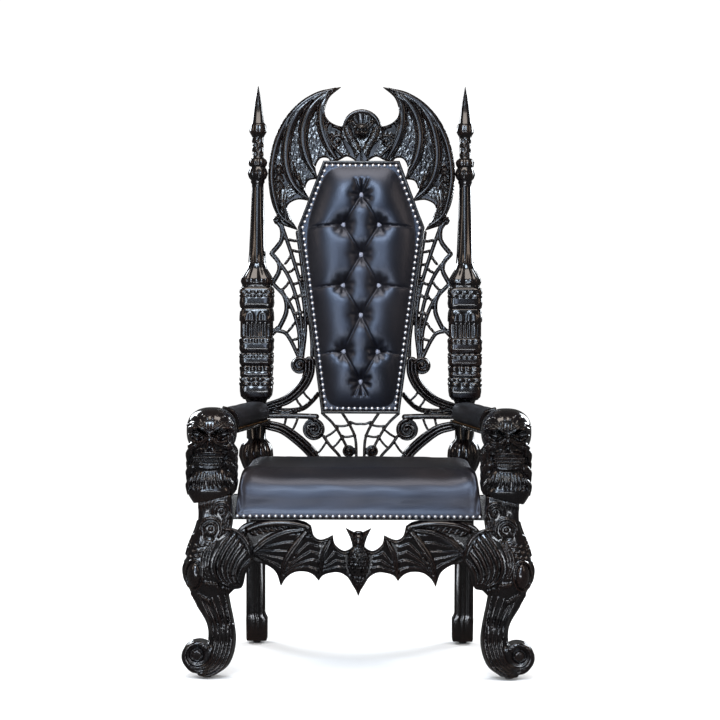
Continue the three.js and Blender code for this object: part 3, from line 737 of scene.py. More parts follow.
    def press(self, canvas: Canvas, facing: Sequence[float], span: tuple[int, int], sharp: float = 1.0) -> None:
        """Raises a drawing's carving on the sides of the block that face one way.

        Args:
            canvas: the drawing.
            facing: direction that the carved side faces.
            span: the block's axes that are the drawing's across and up.
            sharp: how fast the carving fades where the surface turns away.
        """
        slopes = np.gradient(self.value, self.pitch)
        length = np.sqrt(sum(s * s for s in slopes)) + 1e-6
        toward = sum(s * f for s, f in zip(slopes, facing)) / length
        weight = np.clip(toward, 0, 1) ** sharp
        a, b = np.meshgrid(self.axes[span[0]], self.axes[span[1]], indexing="ij")
        inside = (a >= canvas.a[0]) & (a <= canvas.a[-1]) & (b >= canvas.b[0]) & (b <= canvas.b[-1])
        rise = np.where(inside, canvas.sample(a, b), 0.0).astype(np.float32)
        self.value -= np.expand_dims(rise, 3 - span[0] - span[1]) * weight

    def surface(self) -> Shell:
        """Skins the block: one point in every mixed cell, and a quad round every edge that crosses the surface."""
        v = self.value
        inner = v < 0
        n = np.array(v.shape) - 1
        count = np.zeros(n, np.int8)
        corners = [(i, j, k) for i in (0, 1) for j in (0, 1) for k in (0, 1)]
        for i, j, k in corners:
            count += inner[i:n[0] + i, j:n[1] + j, k:n[2] + k]
        cell = np.argwhere((count > 0) & (count < 8))
        index = np.full(n, -1, np.int64)
        index[tuple(cell.T)] = np.arange(len(cell))
        at = {c: v[tuple((cell + c).T)] for c in corners}
        total = np.zeros((len(cell), 3))
        crossings = np.zeros(len(cell))
        for axis in range(3):
            for c in corners:
                if c[axis]:
                    continue
                d = tuple(1 if m == axis else c[m] for m in range(3))
                fa, fb = at[c], at[d]
                cross = (fa < 0) != (fb < 0)
                s = np.where(cross, fa / np.where(cross, fa - fb, 1.0), 0.0)
                spot = np.array(c, float) + s[:, None] * (np.array(d) - np.array(c))
                total += np.where(cross[:, None], spot, 0.0)
                crossings += cross
        low = np.array([axis[0] for axis in self.axes])
        points = low + (cell + total / crossings[:, None]) * self.pitch
        quads = []
        for axis in range(3):
            one, two = (axis + 1) % 3, (axis + 2) % 3
            first = [slice(1, m) for m in n]
            first[axis] = slice(0, n[axis])
            second = list(first)
            second[axis] = slice(1, n[axis] + 1)
            here, there = inner[tuple(first)], inner[tuple(second)]
            for starts in (True, False):
                spot = np.argwhere((here != there) & (here == starts))
                spot[:, one] += 1
                spot[:, two] += 1
                ring = []
                for da, db in ((-1, -1), (0, -1), (0, 0), (-1, 0)):
                    near = spot.copy()
                    near[:, one] += da
                    near[:, two] += db
                    ring.append(index[tuple(near.T)])
                quads.append(np.stack(ring if starts else ring[::-1], 1))
        quads = np.vstack(quads)
        return Shell(points, quads[(quads >= 0).all(axis=1)])


class Wire:
    """A value or colour in a material's node tree, which Python's operators work on."""

    def __init__(self, tree: bpy.types.NodeTree, socket: bpy.types.NodeSocket) -> None:
        """Wraps an output socket of a tree."""
        self.tree = tree
        self.socket = socket

    def math(self, operation: str, *values: "Wire | float") -> "Wire":
        """Adds a Math node on this value and others."""
        return node(self.tree, "ShaderNodeMath", {"operation": operation}, 0, **{f"in{i}": v for i, v in enumerate((self, *values))})

    def __add__(self, other: "Wire | float") -> "Wire":
        """Adds."""
        return self.math("ADD", other)

    def __radd__(self, other: float) -> "Wire":
        """Adds to a number."""
        return self.math("ADD", other)

    def __sub__(self, other: "Wire | float") -> "Wire":
        """Subtracts."""
        return self.math("SUBTRACT", other)

    def __rsub__(self, other: float) -> "Wire":
        """Subtracts from a number."""
        return self.math("MULTIPLY", -1.0).math("ADD", other)

    def __mul__(self, other: "Wire | float") -> "Wire":
        """Multiplies."""
        return self.math("MULTIPLY", other)

    def __rmul__(self, other: float) -> "Wire":
        """Multiplies a number."""
        return self.math("MULTIPLY", other)

    def __pow__(self, other: float) -> "Wire":
        """Raises to a power."""
        return self.math("POWER", other)

    def ramp(self, low: float, high: float) -> "Wire":
        """Returns 0 below one value, 1 above another, and a straight slope between."""
        settings = {"clamp": True}
        return node(self.tree, "ShaderNodeMapRange", settings, "Result", Value=self, **{"From Min": low, "From Max": high})


def node(tree: bpy.types.NodeTree, kind: str, settings: dict, output: str | int = 0, **inputs: object) -> Wire:
    """Adds a node to a tree.

    Args:
        tree: the material's or world's node tree.
        kind: the node's type.
        settings: attributes of the node, set before its sockets.
        output: name or number of the output to return.
        inputs: values or wires of its sockets, by name with spaces, or in0, in1 by number.

    Returns:
        The chosen output.
    """
    made = tree.nodes.new(kind)
    for name, value in settings.items():
        setattr(made, name, value)
    for name, value in inputs.items():
        socket = made.inputs[int(name[2:])] if name[:2] == "in" and name[2:].isdigit() else made.inputs[name.replace("_", " ")]
        if isinstance(value, Wire):
            tree.links.new(value.socket, socket)
        else:
            socket.default_value = value
    return Wire(tree, made.outputs[output])


def mixed(tree: bpy.types.NodeTree, share: Wire | float, first: object, second: object) -> Wire:
    """Mixes two colours.

    Args:
        tree: the node tree.
        share: 0 for the first colour, 1 for the second.
        first: colour or wire.
        second: colour or wire.

    Returns:
        The mixed colour.
    """
    made = tree.nodes.new("ShaderNodeMix")
    made.data_type = "RGBA"
    sockets = {s.identifier: s for s in made.inputs}
    for name, value in (("Factor_Float", share), ("A_Color", first), ("B_Color", second)):
        if isinstance(value, Wire):
            tree.links.new(value.socket, sockets[name])
        else:
            sockets[name].default_value = value
    out = [s for s in made.outputs if s.identifier == "Result_Color"][0]
    return Wire(tree, out)


def rgb(red: float, green: float, blue: float) -> tuple[float, float, float, float]:
    """Returns an opaque colour."""
    return red, green, blue, 1.0


@dataclass(frozen=True)
class Finish:
    """A surface finish that can make its own material."""

    name: str

    def material(self) -> bpy.types.Material:
        """Returns the finish's material, made once."""
        found = bpy.data.materials.get(self.name)
        if found is None:
            found = bpy.data.materials.new(self.name)
            found.use_nodes = True
            tree = found.node_tree
            self.build(tree, tree.nodes["Principled BSDF"])
        return found

    def build(self, tree: bpy.types.NodeTree, shader: bpy.types.Node) -> None:
        """Builds the nodes that feed the shader."""
        raise NotImplementedError

    def wire(self, tree: bpy.types.NodeTree, shader: bpy.types.Node, **inputs: object) -> None:
        """Sets the shader's sockets, by name with spaces as underscores, to values or wires."""
        for name, value in inputs.items():
            socket = shader.inputs[name.replace("_", " ")]
            if isinstance(value, Wire):
                tree.links.new(value.socket, socket)
            else:
                socket.default_value = value

    def bump(self, tree: bpy.types.NodeTree, height: Wire, strength: float, distance: float) -> Wire:
        """Returns a normal bumped by a height."""
        return node(tree, "ShaderNodeBump", {}, "Normal", Height=height, Strength=strength, Distance=distance)

    def place(self, tree: bpy.types.NodeTree, scale: Sequence[float] = (1.0, 1.0, 1.0)) -> Wire:
        """Returns the object's coordinates, stretched."""
        raw = node(tree, "ShaderNodeTexCoord", {}, "Object")
        return node(tree, "ShaderNodeMapping", {}, "Vector", Vector=raw, Scale=scale)

    def noise(self, tree: bpy.types.NodeTree, place: Wire, scale: float, detail: float = 3.0) -> Wire:
        """Returns a noise value at a scale in waves per metre."""
        return node(tree, "ShaderNodeTexNoise", {}, "Fac", Vector=place, Scale=scale, Detail=detail)


@dataclass(frozen=True)
class Lacquer(Finish):
    """Gloss black lacquer over carved hardwood, browner on the convex edges: partly worn lacquer, partly a painted warm
    reflection.
    """

    black: tuple = rgb(0.0020, 0.0016, 0.0020)
    brown_wear_and_reflection: tuple = rgb(0.020, 0.0085, 0.0048)
    dust: tuple = rgb(0.0050, 0.0036, 0.0032)
    gloss: float = 0.15
    wear_and_reflection: float = 0.75

    def build(self, tree: bpy.types.NodeTree, shader: bpy.types.Node) -> None:
        """Builds the lacquer."""
        place = self.place(tree)
        broad = self.noise(tree, place, 7.0)
        fine = self.noise(tree, place, 90.0, 4.0)
        grain = self.noise(tree, self.place(tree, (1.0, 1.0, 0.12)), 420.0, 2.0)
        edge = node(tree, "ShaderNodeNewGeometry", {}, "Pointiness")
        # convex edges turn brown: partly wear, partly a painted warm reflection
        worn_and_reflection = edge.ramp(0.49, 0.58) * broad.ramp(0.35, 0.65) * self.wear_and_reflection
        hollow = 1.0 - edge.ramp(0.42, 0.5)
        tone = mixed(tree, worn_and_reflection, self.black, self.brown_wear_and_reflection)
        colour = mixed(tree, hollow * 0.6, tone, self.dust)
        rough = self.gloss + fine.ramp(0.3, 0.8) * 0.07 + hollow * 0.16
        relief = grain * 0.6 + fine * 0.4
        self.wire(tree, shader, Base_Color=colour, Roughness=rough, Normal=self.bump(tree, relief, 0.05, 0.0005))
        self.wire(tree, shader, IOR=1.5, Coat_Weight=0.8, Coat_Roughness=0.05, Coat_IOR=1.45)


@dataclass(frozen=True)
class Leather(Finish):
    """Smooth black upholstery leather with a fine grain and a soft sheen."""

    black: tuple = rgb(0.0026, 0.0024, 0.0036)
    rubbed: tuple = rgb(0.0075, 0.0058, 0.0062)
    gloss: float = 0.27
    coat: float = 0.1

    def build(self, tree: bpy.types.NodeTree, shader: bpy.types.Node) -> None:
        """Builds the leather."""
        place = self.place(tree)
        pebble = node(tree, "ShaderNodeTexVoronoi", {"feature": "DISTANCE_TO_EDGE"}, "Distance", Vector=place, Scale=520.0)
        pores = self.noise(tree, place, 900.0, 2.0)
        creases = self.noise(tree, self.place(tree, (1.0, 1.0, 0.5)), 26.0, 5.0)
        broad = self.noise(tree, place, 4.5, 2.0)
        colour = mixed(tree, broad.ramp(0.42, 0.72), self.black, self.rubbed)
        rough = self.gloss + broad.ramp(0.3, 0.7) * 0.07 + pores * 0.05
        relief = pebble.ramp(0.0, 0.25) * 0.5 + pores * 0.2 + creases * 0.6
        self.wire(tree, shader, Base_Color=colour, Roughness=rough, Normal=self.bump(tree, relief, 0.16, 0.0008))
        self.wire(tree, shader, Coat_Weight=self.coat, Coat_Roughness=0.22, Specular_IOR_Level=0.85)
        self.wire(tree, shader, Specular_Tint=rgb(0.68, 0.77, 1.0))


@dataclass(frozen=True)
class Metal(Finish):
    """Bright or aged metal of the domed nails."""

    colour: tuple = rgb(0.95, 0.95, 0.97)
    tarnish: tuple = rgb(0.62, 0.62, 0.66)
    gloss: float = 0.34

    def build(self, tree: bpy.types.NodeTree, shader: bpy.types.Node) -> None:
        """Builds the metal."""
        place = self.place(tree)
        spots = self.noise(tree, place, 160.0)
        colour = mixed(tree, spots.ramp(0.45, 0.75), self.colour, self.tarnish)
        rough = self.gloss + spots * 0.15
        self.wire(tree, shader, Base_Color=colour, Roughness=rough, Normal=self.bump(tree, spots, 0.08, 0.0004))
        self.wire(tree, shader, Metallic=1.0)


@dataclass(frozen=True)
class Rubber(Finish):
    """Dull dark rubber of the floor glides."""

    colour: tuple = rgb(0.012, 0.012, 0.012)

    def build(self, tree: bpy.types.NodeTree, shader: bpy.types.Node) -> None:
        """Builds the rubber."""
        scuff = self.noise(tree, self.place(tree), 300.0)
        colour = mixed(tree, scuff.ramp(0.5, 0.8), self.colour, rgb(0.03, 0.03, 0.032))
        self.wire(tree, shader, Base_Color=colour, Roughness=0.55 + scuff * 0.2, Normal=self.bump(tree, scuff, 0.1, 0.0004))


@dataclass(frozen=True)
class StudioFloor(Finish):
    """Plain pale studio floor."""

    def build(self, tree: bpy.types.NodeTree, shader: bpy.types.Node) -> None:
        """Builds the floor's surface."""
        mottle = self.noise(tree, self.place(tree), 3.0)
        colour = mixed(tree, mottle, rgb(0.93, 0.93, 0.93), rgb(0.96, 0.96, 0.96))
        self.wire(tree, shader, Base_Color=colour, Roughness=0.8, Specular_IOR_Level=0.0)


LACQUER = Lacquer("gloss_black_lacquer")
PLAIN_LACQUER = Lacquer("plain_black_lacquer", gloss=0.24, wear_and_reflection=0.0)
LEATHER = Leather("black_leather")
SEAT_LEATHER = Leather("seat_leather", rgb(0.0050, 0.0036, 0.0046), rgb(0.018, 0.011, 0.0080), 0.33)
ARM_LEATHER = Leather("arm_leather", rgb(0.0050, 0.0036, 0.0030), rgb(0.012, 0.0078, 0.0055), 0.4, 0.15)
SILVER = Metal("silver_nails")
BRONZE = Metal("bronze_nails", rgb(0.16, 0.095, 0.045), rgb(0.05, 0.03, 0.018), 0.32)
BUTTON = Leather("button_grey", rgb(0.17, 0.18, 0.23), rgb(0.24, 0.25, 0.30), 0.3, 0.5)
GLIDE = Rubber("glide_rubber")


class SubAssembly:
    """A part of the throne that makes its own pieces."""

    def build(self) -> None:
        """Makes and dresses the pieces."""
        raise NotImplementedError

    def piece(
        self,
        name: str,
        shell: Shell,
        finish: Finish,
        slot: str,
        replaces: Sequence[str] = (),
        crease: float = 60.0,
        keep: float = 1.0,
    ) -> bpy.types.Object:
        """Makes one piece from a shell in metres.

        Args:
            name: the piece's name.
            shell: its points and faces.
            finish: its finish.
            slot: the record's material slot; not used.
            replaces: CAD nodes that it stands for.
            crease: angle in degrees above which an edge is sharp.
            keep: share of its triangles that is kept.

        Returns:
            The object.
        """
        made = bpy.data.objects.new(name, shell.mesh(name))
        bpy.context.scene.collection.objects.link(made)
        if keep < 1.0:
            self.thin(made, keep)
        made.data.set_sharp_from_angle(angle=math.radians(crease))
        made.data.materials.append(finish.material())
        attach(made, "root")
        if replaces:
            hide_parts(*replaces)
        made.data.calc_loop_triangles()
        LOG.info("%s: %d triangles", name, len(made.data.loop_triangles))
        return made

    @staticmethod
    def thin(made: bpy.types.Object, keep: float) -> None:
        """Thins a mesh where it is flat, down to a share of its triangles."""
        made.modifiers.new("thin", "DECIMATE").ratio = keep
        SubAssembly.apply(made)

    @staticmethod
    def inflate(made: bpy.types.Object, voxel: float, reach: float, held: float) -> None:
        """Lets a padded piece swell as leather over filling, and applies the result.

        Args:
            made: the piece, drawn slightly smaller than it ends up.
            voxel: size of its cells while it swells, in millimetres.
            reach: how far a point may move, in millimetres.
            held: height over the floor, in millimetres, below which the leather is nailed down.
        """
        even = made.modifiers.new("even", "REMESH")
        even.mode, even.voxel_size = "VOXEL", voxel * MM
        SubAssembly.apply(made)
        start = SubAssembly.points(made.data)
        nailed = made.vertex_groups.new(name="nailed")
        nailed.add([int(i) for i in np.flatnonzero(start[:, 2] < held * MM)], 1.0, "REPLACE")
        cloth = made.modifiers.new("swell", "CLOTH").settings
        cloth.use_pressure, cloth.uniform_pressure_force = True, 4.0
        cloth.vertex_group_mass = "nailed"
        cloth.effector_weights.gravity = 0.0
        scene = bpy.context.scene
        for step in range(1, 21):
            scene.frame_set(step)
        swollen = SubAssembly.points(made.evaluated_get(bpy.context.evaluated_depsgraph_get()).data)
        made.modifiers.clear()
        move = swollen - start
        far = np.maximum(np.linalg.norm(move, axis=1, keepdims=True) / (reach * MM), 1e-6)
        move *= np.tanh(far) / far
        made.data.vertices.foreach_set("co", (start + move).astype(np.float32).ravel())
        scene.frame_set(1)
        made.modifiers.new("soften", "SUBSURF").levels = 1
        SubAssembly.apply(made)
        LOG.info("%s: swells by up to %.1f mm", made.name, np.linalg.norm(move, axis=1).max() / MM)

    @staticmethod
    def points(mesh: bpy.types.Mesh) -> np.ndarray:
        """Returns a mesh's points in metres."""
        flat = np.empty(len(mesh.vertices) * 3, np.float32)
        mesh.vertices.foreach_get("co", flat)
        return flat.reshape(-1, 3).astype(float)

    @staticmethod
    def apply(made: bpy.types.Object) -> None:
        """Applies a piece's modifiers to its mesh."""
        done = bpy.data.meshes.new_from_object(made.evaluated_get(bpy.context.evaluated_depsgraph_get()))
        made.modifiers.clear()
        made.data = done
        done.shade_smooth()

    def pair(self, name: str, shell: Shell, place: Callable, finish: Finish, slot: str, keep: float = 1.0) -> None:
        """Makes the right-hand piece and its mirror image, each standing for the CAD node of its name.

        Args:
            name: the nodes' name without the side.
            shell: the right-hand shell, in its drawing.
            place: function that places the drawing in the frame.
            finish: the finish.
            slot: the record's material slot; not used.
            keep: share of the triangles that is kept.
        """
        for side, half in (("right", shell), ("left", shell.mirrored())):
            self.piece(f"carved_{name}_{side}", half.placed(place), finish, slot, [f"{name}_{side}"], keep=keep)

    def dress(self, name: str, finish: Finish) -> None:
        """Gives a CAD node that stays as it is its finish."""
        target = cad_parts[name]
        target.data.materials.clear()
        target.data.materials.append(finish.material())
        LOG.info("%s: dressed", name)


@dataclass
class BackPost(SubAssembly):
    """A back post: spike, turned bulbs, column, leaf cap, carved blocks, gadrooned bulb and square leg."""

    middle: float = 321.0
    sides: int = 96
    bands: Line = (
        (498, 521, 4, 2, 3.2), (356, 373, 5, 1, 3.0), (311, 331, 5, 2, 2.8), (268, 294, 4, 1, 3.6), (225, 254, 3, 2, 4.0),
        (170, 189, 3, 1, 3.0),
    )
    spire: Line = (
        (-42, 30, 3), (-22, 40, 2), (10, 51, 2), (30, 49.5, 2), (48, 43, 2), (58, 34, 2), (64, 29.5, 2), (120, 30, 2),
        (176, 30, 2), (183, 33, 3), (186, 41, 5), (195, 47.5, 7), (210, 50, 7), (251, 50.5, 8), (254, 47, 8), (257, 49.5, 8), (286, 49.5, 8),
        (289, 46.5, 8), (293, 50.5, 8), (300, 52, 7), (308, 51.5, 8), (325, 51.5, 8), (329, 47.5, 8), (333, 50.5, 7), (343, 53, 6),
        (353, 51.5, 7), (372, 52, 8), (375, 48, 8), (378, 49.6, 8), (462, 49.6, 8), (465, 47.5, 8), (469, 51, 7), (482, 53.2, 6),
        (496, 51.5, 7), (524, 52.3, 7), (529, 50, 5), (532, 45, 4), (538, 46, 3), (546, 49, 3), (556, 48, 3),
        (570, 41, 2.4), (588, 30.5, 2), (604, 26.5, 2), (640, 25.3, 2), (740, 21.8, 2), (838, 18.4, 2), (850, 18.4, 2),
        (856, 22, 2), (862, 21, 2), (868, 26, 2), (883, 30.3, 2), (896, 27, 2), (903, 23.5, 2), (908, 27, 2),
        (918, 28.6, 2), (926, 25.5, 2), (932, 18.0, 2), (938, 17.0, 2), (964, 17.2, 2), (986, 17.6, 2), (996, 18.2, 2),
        (1004, 22, 2), (1012, 26, 2), (1018, 26.6, 2), (1026, 25.4, 2), (1033, 25, 2), (1037, 22.5, 2), (1041, 19.0, 2.4),
        (1100, 11.0, 2.6), (1150, 2.2, 2.2), (1156, 0.6, 2),
    )
    leg: Line = ((8.3, 34, 27, 29), (14, 36, 28.5, 30.5), (76, 36.5, 29.5, 31), (86, 31, 29, 29.5), (94, 29, 29, 29), (520, 29, 29, 29))

    def centre(self, height: float) -> tuple[float, float]:
        """Returns the depth and height over the floor of a place along the post."""
        if height < 0:
            return DATUM.foot_u - height * 7.0 / DATUM.foot_z, DATUM.foot_z + height
        return DATUM.foot_u + height * math.sin(DATUM.rake), DATUM.foot_z + height * math.cos(DATUM.rake)

    def carved(self, t: float, angle: np.ndarray) -> np.ndarray:
        """Returns how far the carving stands off the turned form at a height, all round.

        Args:
            t: height on the rake.
            angle: angles round the post.

        Returns:
            Heights in millimetres.
        """
        out = np.zeros_like(angle)
        face = (angle / (math.pi / 2)) % 1.0
        if -40 < t < 62:
            swell = math.sin(math.pi * min(max((t + 40) / 102, 0), 1)) ** 0.6
            out += swell * (6.5 * np.abs(np.cos(5 * angle)) ** 0.8 - 4.0)
        for low, high, count, rows, depth in self.bands:
            if low < t < high:
                share = (t - low) / (high - low) * rows
                wave = np.abs(np.sin(math.pi * (face * count + 0.5 * (int(share) % 2))))
                out += depth * (wave**1.4 * math.sin(math.pi * (share % 1.0)) ** 0.6 - 0.5)
        if 377 < t < 424:
            ends = min((t - 376) / 5, (425 - t) / 9, 1)
            out -= 4.0 * np.clip(1.25 * np.sin(math.pi * face * 6) ** 2 - 0.15, 0, 1) * ends
        if 425 < t < 462:
            for spot in (0.27, 0.73):
                arch = np.clip(1 - ((face - spot) / 0.19) ** 2 - ((t - 432) / 27) ** 2, 0, 1)
                out += 3.6 * np.sqrt(arch) - 2.6 * np.exp(-(((face - spot) / 0.05) ** 2)) * (t < 450)
        if 530 < t < 606:
            share = (t - 530) / 76
            lobe = np.abs(np.cos(2 * angle)) ** 0.6
            vein = np.abs(np.cos(10 * angle))
            out += (9.0 * lobe - 4.0 - 2.4 * vein * lobe) * math.sin(math.pi * share) ** 0.8
        if 606 < t < 650:
            out += 1.6 * np.cos(8 * angle) * (650 - t) / 44
        if 866 < t < 900:
            out += (3.6 * np.abs(np.cos(5 * angle)) - 2.0) * math.sin(math.pi * (t - 866) / 34) ** 0.5
        if 906 < t < 928:
            out += (2.4 * np.abs(np.cos(7 * angle)) - 1.2) * math.sin(math.pi * (t - 906) / 22) ** 0.5
        if 936 < t < 992:
            out += 1.9 * np.cos(6 * angle + math.pi * (int((t - 936) / 14) % 2)) * math.sin(math.pi * ((t - 936) / 14 % 1.0)) ** 0.7
        if 1003 < t < 1035:
            out += (2.0 * np.abs(np.cos(5 * angle)) - 1.0) * math.sin(math.pi * (t - 1003) / 32) ** 0.5
        return out

    def build(self) -> None:
        """Makes both posts."""
        knots = np.array(self.spire, float)
        fine = [(-42, 70), (180, 612), (850, 1044)]
        heights = [float(t) for t in knots[:, 0]]
        for low, high in fine:
            heights += list(np.arange(low + 2.2, high, 2.2))
        heights = np.unique(np.round(np.array(heights), 2))
        angle = (np.arange(self.sides) + 0.5) / self.sides * 2 * math.pi
        c, s = np.cos(angle), np.sin(angle)
        levels = []
        for z, inner, outer, deep in self.leg:
            u, _ = self.centre(min(z - DATUM.foot_z, 0))
            levels.append(self.ring(c, s, self.middle + (outer - inner) / 2, u, z, (inner + outer) / 2, deep, 9.0, self.flutes(angle, z)))
        for t in heights:
            radius, square = (float(np.interp(t, knots[:, 0], knots[:, k])) for k in (1, 2))
            u, z = self.centre(t)
            levels.append(self.ring(c, s, self.middle, u, z, radius, radius, square, self.carved(t, angle + math.pi / 4)))
        self.pair("back_post", rings(np.array(levels)), DATUM.upright, LACQUER, "lacquer", 0.56)

    @staticmethod
    def flutes(angle: np.ndarray, z: float) -> np.ndarray:
        """Returns the two shallow flutes that run down each face of the square leg."""
        face = (angle / (math.pi / 2) + 0.5) % 1.0
        return -2.2 * (np.exp(-(((face - 0.36) / 0.07) ** 2)) + np.exp(-(((face - 0.64) / 0.07) ** 2))) * (z > 20)

    @staticmethod
    def ring(c: np.ndarray, s: np.ndarray, x: float, u: float, z: float, a: float, b: float, n: float, carved: np.ndarray) -> np.ndarray:
        """Draws one level of the post.

        Args:
            c: cosines of the angles.
            s: sines of the angles.
            x: middle across.
            u: middle in depth.
            z: height.
            a: half width.
            b: half depth.
            n: squareness, 2 for a circle.
            carved: how far the carving stands off.

        Returns:
            The points of the ring.
        """
        reach = (np.abs(c) ** n + np.abs(s) ** n) ** (-1 / n)
        grow = 1 + carved / max(a, 6.0)
        return np.stack([x + a * reach * c * grow, u + b * reach * s * grow, np.full_like(c, z)], 1)


@dataclass
class CoffinBack(SubAssembly):
    """The coffin-shaped back: lacquered frame, rear board, buttoned leather pad, buttons and nails."""

    top: tuple[float, float] = (118.0, 921.5)
    shoulder: tuple[float, float] = (196.0, 715.0)
    foot: tuple[float, float] = (120.5, 140.5)
    tufts: Line = ((0, 815), (-55, 722), (55, 722), (0, 630), (-55, 535), (55, 535), (0, 443), (-52, 331), (52, 331), (0, 238))
    width: float = 34.0
    back: float = 14.0
    bed: float = -14.3
    border: float = -21.0
    crown: float = 30.0
    nail_inset: float = 15.5
    nail_pitch: float = 18.4

    def outline(self, inset: float) -> np.ndarray:
        """Returns the coffin's six corners moved inwards, from the right of the foot, anticlockwise."""
        right = [self.foot, self.shoulder, self.top]
        corners = np.array([*right, *[(-x, t) for x, t in reversed(right)]])
        moved = []
        for i, corner in enumerate(corners):
            u = corner - corners[i - 1]
            v = corners[(i + 1) % 6] - corner
            u, v = u / np.linalg.norm(u), v / np.linalg.norm(v)
            moved.append(corner + np.array([-(u + v)[1], (u + v)[0]]) * inset / (1 + u @ v))
        return np.array(moved)

    def body(self, levels: Line) -> Shell:
        """Skins closed loops of the coffin's outline, each an inset and a depth, into a frame."""
        made = []
        for inset, deep in levels:
            x, t = self.outline(inset).T
            made.append(np.stack([x, np.full(6, deep), t], 1))
        shell = rings(np.array(made), closed=True)
        return Shell(shell.points, shell.quads[:, ::-1])

    def frame_shell(self) -> Shell:
        """Draws the frame: a rounded lip outside, a flat bed under the leather's edge, and a square back."""
        lip = [(4.2 - 4.2 * math.cos(a), self.border + 1.5 - 4.2 * math.sin(a)) for a in np.linspace(0, math.pi, 9)]
        levels = [(1.5, self.back), (0.0, self.back - 2), (0.0, 2.0), (1.6, 0.0), (1.6, -5.0), (0.0, -7.0), *lip]
        levels += [(8.4, self.bed), (self.width, self.bed), (self.width, self.back - 1), (self.width - 1, self.back)]
        return self.body(levels)

    def pad_canvas(self) -> Canvas:
        """Carves the pad: a crowned field, a dip at every button and a pleat along every line between buttons."""
        board = Canvas((-200, 200), (135, 930), 2.6)
        board.outline([self.outline(9.0)])
        inside = np.clip(board.inside, 0, 26)
        x, t = board.grid()
        edge = self.edge_gap(x, t, 18.0)
        rise = np.clip((edge - 18) / 96, 0, 1)
        board.height = 6.0 * np.sqrt(np.clip(1 - (1 - np.clip(inside / 6, 0, 1)) ** 2, 0, 1))
        board.height += self.crown * (1 - (1 - rise) ** 2.1)
        pleats = np.full(x.shape, FAR)
        for line, strength in self.pleats():
            area, near, share = board.beside(line, 60.0)
            local = np.abs(near) / strength
            pleats[area] = np.minimum(pleats[area], local)
        board.height -= 2.6 * np.exp(-((pleats / 14.0) ** 2)) * rise**0.5
        board.height -= 4.2 * np.exp(-((pleats / 3.0) ** 1.5)) * np.clip(rise * 3, 0, 1)
        for bx, bt in self.tufts:
            r = np.hypot(x - bx, t - bt)
            around = np.arctan2(t - bt, x - bx)
            board.height -= 23.0 * np.exp(-((r / 27.0) ** 1.5))
            wrinkled = 2.4 if bt in (815, 238) else 1.2
            board.height += wrinkled * np.cos(around * 7 + bx) * np.exp(-(((r - 22) / 11.0) ** 2))
        swell = np.sin(x / 37.0 + 0.6) * np.sin(t / 53.0) + 0.5 * np.sin(x / 17.0 + t / 29.0)
        board.height += 0.7 * swell * rise
        return board

    def edge_gap(self, x: np.ndarray, t: np.ndarray, soft: float = 0.001) -> np.ndarray:
        """Returns the distance from the coffin's outline at any places inside it, rounded by a radius where sides meet."""
        corners = self.outline(0.0)
        sides = []
        for i, p in enumerate(corners):
            q = corners[(i + 1) % 6]
            e = (q - p) / np.linalg.norm(q - p)
            sides.append((x - p[0]) * -e[1] + (t - p[1]) * e[0])
        gap = np.minimum.reduce(sides)
        return gap - soft * np.log(sum(np.exp((gap - side) / soft) for side in sides))

    def pleats(self) -> list[tuple[np.ndarray, float]]:
        """Lists the pleats: between neighbouring buttons, and from the outer buttons to the frame."""
        spots = np.array(self.tufts, float)
        lines = []
        for i, p in enumerate(spots):
            for q in spots[i + 1:]:
                if 60 < np.linalg.norm(q - p) < 135 and p[0] != q[0] and abs(p[1] - q[1]) > 40:
                    lines.append((np.array([p, q]), 1.0))
            if p[0]:
                end = np.array([math.copysign(self.half_at(p[1]) - 22, p[0]), p[1] - 9])
                lines.append((smooth([p, (p + end) / 2 + (0, 2), end]), 0.8))
        for t, end in ((815, 862), (238, 196)):
            for lean in (-20, 0, 20):
                lines.append((np.array([(0.0, t), (lean, end)]), 0.5))
        return lines

    def half_at(self, t: float) -> float:
        """Returns the coffin's half width at a height."""
        corners = self.outline(0.0)[:3]
        return float(np.interp(t, corners[:, 1], corners[:, 0]))

    def build(self) -> None:
        """Makes the back."""
        self.piece("coffin_show_frame", self.frame_shell().placed(DATUM.raked), LACQUER, "lacquer", ["coffin_frame"], 35)
        self.dress("back_board", PLAIN_LACQUER)
        board = self.pad_canvas()
        front = self.bed + 0.0
        pad = board.board(front, self.bed + 0.4, 0.2)
        made = self.piece("buttoned_back_pad", pad.placed(DATUM.raked), LEATHER, "leather", ["back_pad"], 80, 0.54)
        for i, (x, t) in enumerate(self.tufts, 1):
            deep = front - float(board.sample(np.array([x]), np.array([t]))[0])
            shell = dome((x, deep + 0.6, t), 9.6, 7.6, 24, 7)
            self.piece(f"covered_button_{i:02d}", shell.placed(DATUM.raked), BUTTON, "button", [f"back_button_{i:02d}"])
        nails = []
        for p, q in zip(self.outline(self.nail_inset), np.roll(self.outline(self.nail_inset), -1, axis=0)):
            count = round(np.linalg.norm(q - p) / self.nail_pitch)
            for s in np.arange(count) / count:
                x, t = p + (q - p) * s
                deep = front - float(board.sample(np.array([x]), np.array([t]))[0])
                nails.append(dome((x, deep + 0.4, t), 5.7, 4.2, 14, 4))
        self.piece("back_nails", Shell.joined(nails).placed(DATUM.raked), SILVER, "silver_nail")


